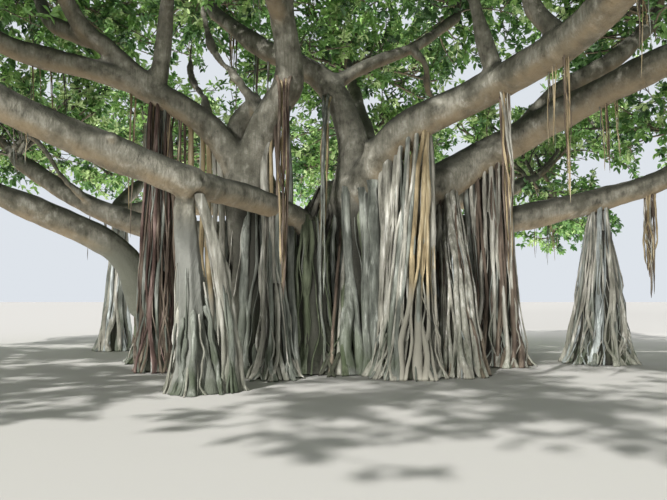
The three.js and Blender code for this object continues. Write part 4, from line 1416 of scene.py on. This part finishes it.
def bark_look(name, dark, middle, pale, wood=False, low=None, moss=0.0):
    """Bark with blotches and upright streaks, and with moss near the ground.

    Wood has painted shade on top and painted warm bounce light underneath, and is wrinkled across its limbs.
    low is a colour with how far up, and how far out from the trunk's middle, the bark has it; on the trunk it
    is painted shade.
    """
    look = new_look(name)
    tree = look.node_tree
    place = node(tree, "ShaderNodeTexCoord")["Object"]
    level = node(tree, "ShaderNodeSeparateXYZ", {"Vector": place})["Z"]
    blotch = noise_node(tree, place, *BLOTCHES)
    streak = noise_node(tree, place, *(WOOD_STREAKS if wood else ROOT_STREAKS))
    fine = noise_node(tree, place, *FINE_GRAIN)
    thread = noise_node(tree, place, *THREADS)
    colour = blended(tree, ranged(tree, blotch, *TO_MIDDLE), dark, middle)
    # Pale streaks: the bark's own streaks and, on the roots, also painted light standing in for flecks of sun
    colour = blended(tree, ranged(tree, streak, *TO_PALE), colour, pale)
    colour = blended(tree, ranged(tree, thread, *THREAD_SHADE), colour, dark)
    # Painted shade in the hollows of the bark's relief, where the bump's height is low, varied by fine noise
    share = both(tree, ranged(tree, streak, *HOLLOWS), ranged(tree, fine, *HOLLOW_SPECKS))
    colour = blended(tree, share, colour, tuple(channel * DARKEST for channel in dark))
    if wood:
        normal = node(tree, "ShaderNodeNewGeometry")["Normal"]
        facing = node(tree, "ShaderNodeSeparateXYZ", {"Vector": normal})["Z"]
        # Painted warm bounce light on the wood's undersides, then painted shade on its tops, in patches
        share = both(tree, ranged(tree, facing, *FACING_DOWN), ranged(tree, blotch, *UNDER_LIGHT_PATCHES))
        colour = blended(tree, share, colour, PAINTED_UNDER_LIGHT)
        share = both(tree, ranged(tree, facing, *FACING_UP), ranged(tree, blotch, *TOP_SHADE_PATCHES))
        colour = blended(tree, share, colour, PAINTED_TOP_SHADE)
    if low:
        low_colour, height, reach = low
        fade_up, fade_out = LOW_FADE
        flat = node(tree, "ShaderNodeVectorMath", {0: place, 1: LEVEL}, operation="MULTIPLY")["Vector"]
        away = node(tree, "ShaderNodeVectorMath", {0: flat}, operation="LENGTH")["Value"]
        near = ranged(tree, away, reach, reach - fade_out)
        share = both(tree, ranged(tree, level, height, height - fade_up), near)
        colour = blended(tree, share, colour, low_colour)
    if moss:
        share = both(tree, ranged(tree, level, *MOSS_HEIGHT, 0.0, moss), ranged(tree, blotch, *MOSS_PATCHES))
        colour = blended(tree, share, colour, MOSS)
    height = both(tree, streak, fine, "ADD")
    if wood:
        along = node(tree, "ShaderNodeAttribute", attribute_name="grain")["Vector"]
        inputs = {0: noise_node(tree, along, *WRINKLES), 1: WRINKLE_DEPTH, 2: height}
        height = node(tree, "ShaderNodeMath", inputs, operation="MULTIPLY_ADD")["Value"]
    inputs = {"Height": height, "Strength": BUMP_STRENGTH, "Distance": WOOD_BUMP if wood else ROOT_BUMP}
    bumps = node(tree, "ShaderNodeBump", inputs)["Normal"]
    fill(tree, tree.nodes["Principled BSDF"].inputs["Normal"], bumps)
    return surfaced(look, colour, ranged(tree, fine, *ROUGHNESS), BARK_SPECULAR)


# On the trunk, the low colour is near-black: painted shade on the wood inside its roots, below 4.1 m and
# within 3 m of its middle
group_barks = {
    "trunk": bark_look("bark", *BARK, True, ((0.035, 0.034, 0.026), 4.1, 3.0), 0.5),
    "pillar_front_left": bark_look("bark_pillar", *BARK, True, ((0.15, 0.15, 0.13), 3.3, FAR), 0.6),
    "stem_left": bark_look("bark_stem", *BARK, True, ((0.1, 0.1, 0.075), 3.3, FAR), 0.7),
}
root_looks = [
    bark_look("root_pale", (0.15, 0.142, 0.112), (0.33, 0.315, 0.265), (0.55, 0.53, 0.47), moss=0.6),
    bark_look("root_grey", (0.075, 0.08, 0.066), (0.19, 0.197, 0.166), (0.36, 0.368, 0.325), moss=0.8),
    bark_look("root_brown", (0.05, 0.036, 0.026), (0.12, 0.09, 0.066), (0.22, 0.178, 0.138), moss=0.3),
    bark_look("root_mossy", (0.045, 0.053, 0.03), (0.115, 0.13, 0.08), (0.22, 0.24, 0.17), moss=0.9),
    bark_look("root_red", (0.045, 0.026, 0.02), (0.115, 0.075, 0.062), (0.26, 0.19, 0.165)),
    bark_look(
        "root_golden", (0.16, 0.118, 0.06), (0.32, 0.255, 0.15), (0.46, 0.4, 0.28),
        low=((0.2, 0.188, 0.15), 2.1, FAR),
    ),
    bark_look("root_cool", (0.15, 0.162, 0.152), (0.31, 0.33, 0.315), (0.56, 0.59, 0.57), moss=0.4),
    # Painted shade: near-black, for the wood inside a column's roots and some of the trunk's roots, so that
    # the gaps between roots look dark
    bark_look("root_core_shade", (0.02, 0.018, 0.014), (0.045, 0.042, 0.032), (0.08, 0.076, 0.06), moss=0.4),
]
# Greens from dark to bright, dealt out by spray: partly the leaves' own range of colour, partly painted
# light, where the brightest stand in for leaves lit through from behind
LEAF_COLOURS = (
    (0.05, 0.105, 0.038),
    (0.08, 0.175, 0.055),
    (0.12, 0.25, 0.07),
    (0.185, 0.345, 0.09),
    (0.3, 0.48, 0.14),
    (0.5, 0.64, 0.28),
)
LEAF_SURFACE = (0.5, 0.35)  # roughness and specular level
leaf_looks = [surfaced(new_look(f"leaf_{k}"), leaf, *LEAF_SURFACE) for k, leaf in enumerate(LEAF_COLOURS)]


# Pieces


def root_of(name):
    """The trunk or pillar that a limb grows from in the end."""
    while name in LIMBS:
        name = LIMBS[name].parent
    return name


for group, voxel in FUSED_GROUPS.items():
    names = [name for name in LIMBS if root_of(name) == group]
    columns = TRUNK if group == "trunk" else [PILLARS[group]]
    wood = Skins()
    for column, _ in columns:
        wood.add(column_rings(column))
    for name in names:
        wood.add(limb_rings(name))
    if group in BENDS:
        wood.add(bend_rings(BENDS[group]))
    for limb, *branch in BRANCHES:
        if limb in names:
            wood.add(branch_rings(*branch))
    for limb, *knot in KNOTS:
        if limb in names:
            wood.add(knot_rings(limb, *knot))
    mesh = fused_wood(f"wood_{group}", wood, names, voxel, group_barks[group])
    add_piece(f"wood_{group}", mesh, "bark", group, *names)

strands = Skins()
for number, (column, roots) in enumerate(TRUNK):
    add_strands(strands, column, roots, np.random.default_rng(TRUNK_SEED + number))
add_piece("strands_trunk", strands.mesh("strands_trunk", root_looks), "root_bark", "trunk")

for number, (pillar, (column, roots)) in enumerate(PILLARS.items()):
    strands = Skins()
    if pillar not in FUSED_GROUPS:
        strands.add(held_up(column_rings(column)), roots.core_look)
    add_strands(strands, column, roots, np.random.default_rng(PILLAR_SEED + number))
    name = f"strands_{pillar}"
    slot = "red_root" if pillar == "roots_red_curtain" else "root_bark"
    add_piece(name, strands.mesh(name, root_looks), slot, pillar)

for number, (root, plan) in enumerate(HANGING_ROOTS.items()):
    bundle = Skins()
    add_hanging(bundle, *plan, np.random.default_rng(HANGING_SEED + number))
    name = f"bundle_{root}"
    add_piece(name, bundle.mesh(name, root_looks), "root_bark", root)

strings = Skins()
rng = np.random.default_rng(STRING_SEED)
for plan in STRINGS:
    add_strings(strings, *plan, rng)
for limb, drop_roots in DROP_ROOTS.items():
    for plan in drop_roots:
        add_drop_root(strings, limb, *plan, rng)
add_piece("hanging_strings", strings.mesh("hanging_strings", root_looks), "root_bark")

for number, mass in enumerate(MASSES):
    short = mass.name.removeprefix("foliage_")
    twigs, leaves = grow_mass(f"leaves_{short}", mass, np.random.default_rng(FOLIAGE_SEED + number))
    add_piece(f"twigs_{short}", twigs.mesh(f"twigs_{short}", [group_barks["trunk"]]), "bark", mass.name)
    add_piece(f"leaves_{short}", leaves, "leaf", mass.name)


# Stage

GROUND_SIZE = 3000
GROUND_LEVEL = -0.004
GROUND_COLOUR = (0.37, 0.355, 0.33)
GROUND_SURFACE = (0.95, 0.1)  # roughness and specular level
SKY = (0.86, 0.91, 0.97)
SKY_STRENGTH = 0.85


def add_light(name, kind, place, target, **settings):
    lamp = bpy.data.lights.new(name, kind)
    for key, value in settings.items():
        setattr(lamp, key, value)
    light = bpy.data.objects.new(name, lamp)
    light.location = place
    away = Vector(place) - Vector(target)
    light.rotation_euler = away.to_track_quat("Z", "Y").to_euler()
    light.visible_camera = False
    bpy.context.scene.collection.objects.link(light)


half = GROUND_SIZE / 2
ground_mesh = bpy.data.meshes.new("ground")
corners = [(-half, -half, 0), (half, -half, 0), (half, half, 0), (-half, half, 0)]
ground_mesh.from_pydata(corners, [], [(0, 1, 2, 3)])
ground_mesh.materials.append(surfaced(new_look("pale_ground"), GROUND_COLOUR, *GROUND_SURFACE))
ground = bpy.data.objects.new("ground", ground_mesh)
ground.location = (0, 0, GROUND_LEVEL)
bpy.context.scene.collection.objects.link(ground)

world = bpy.data.worlds.new("sky")
world.use_nodes = True
world.node_tree.nodes["Background"].inputs["Color"].default_value = (*SKY, 1)
world.node_tree.nodes["Background"].inputs["Strength"].default_value = SKY_STRENGTH
bpy.context.scene.world = world
add_light("sun", "SUN", (-20, -30, 40), (0, 0, 0), energy=5.6, angle=math.radians(1.5))
add_light("front", "SUN", (-9, -19, 2.6), (0, 0, 0), energy=2.9, angle=math.radians(9))
add_light("back", "AREA", (9, 20, 7), (0, 2, 5), energy=900, shape="DISK", size=10)
add_light("bounce_back", "AREA", (0, 9, 0.03), (0, 9, 10), energy=3600, shape="DISK", size=24)
add_light("bounce_front", "AREA", (0, -9, 0.03), (0, -9, 10), energy=550, shape="DISK", size=20)

bpy.context.scene.view_settings.view_transform = "Standard"

camera = bpy.data.objects.new("camera", bpy.data.cameras.new("camera"))
camera.location = CAMERA_PLACE
camera.rotation_euler = (math.radians(90 + CAMERA_PITCH), 0, 0)
camera.data.lens = CAMERA_LENS
camera.data.sensor_width = SENSOR_WIDTH
camera.data.sensor_fit = "HORIZONTAL"
camera.data.clip_end = VIEW_DEPTH
bpy.context.scene.collection.objects.link(camera)
bpy.context.scene.camera = camera
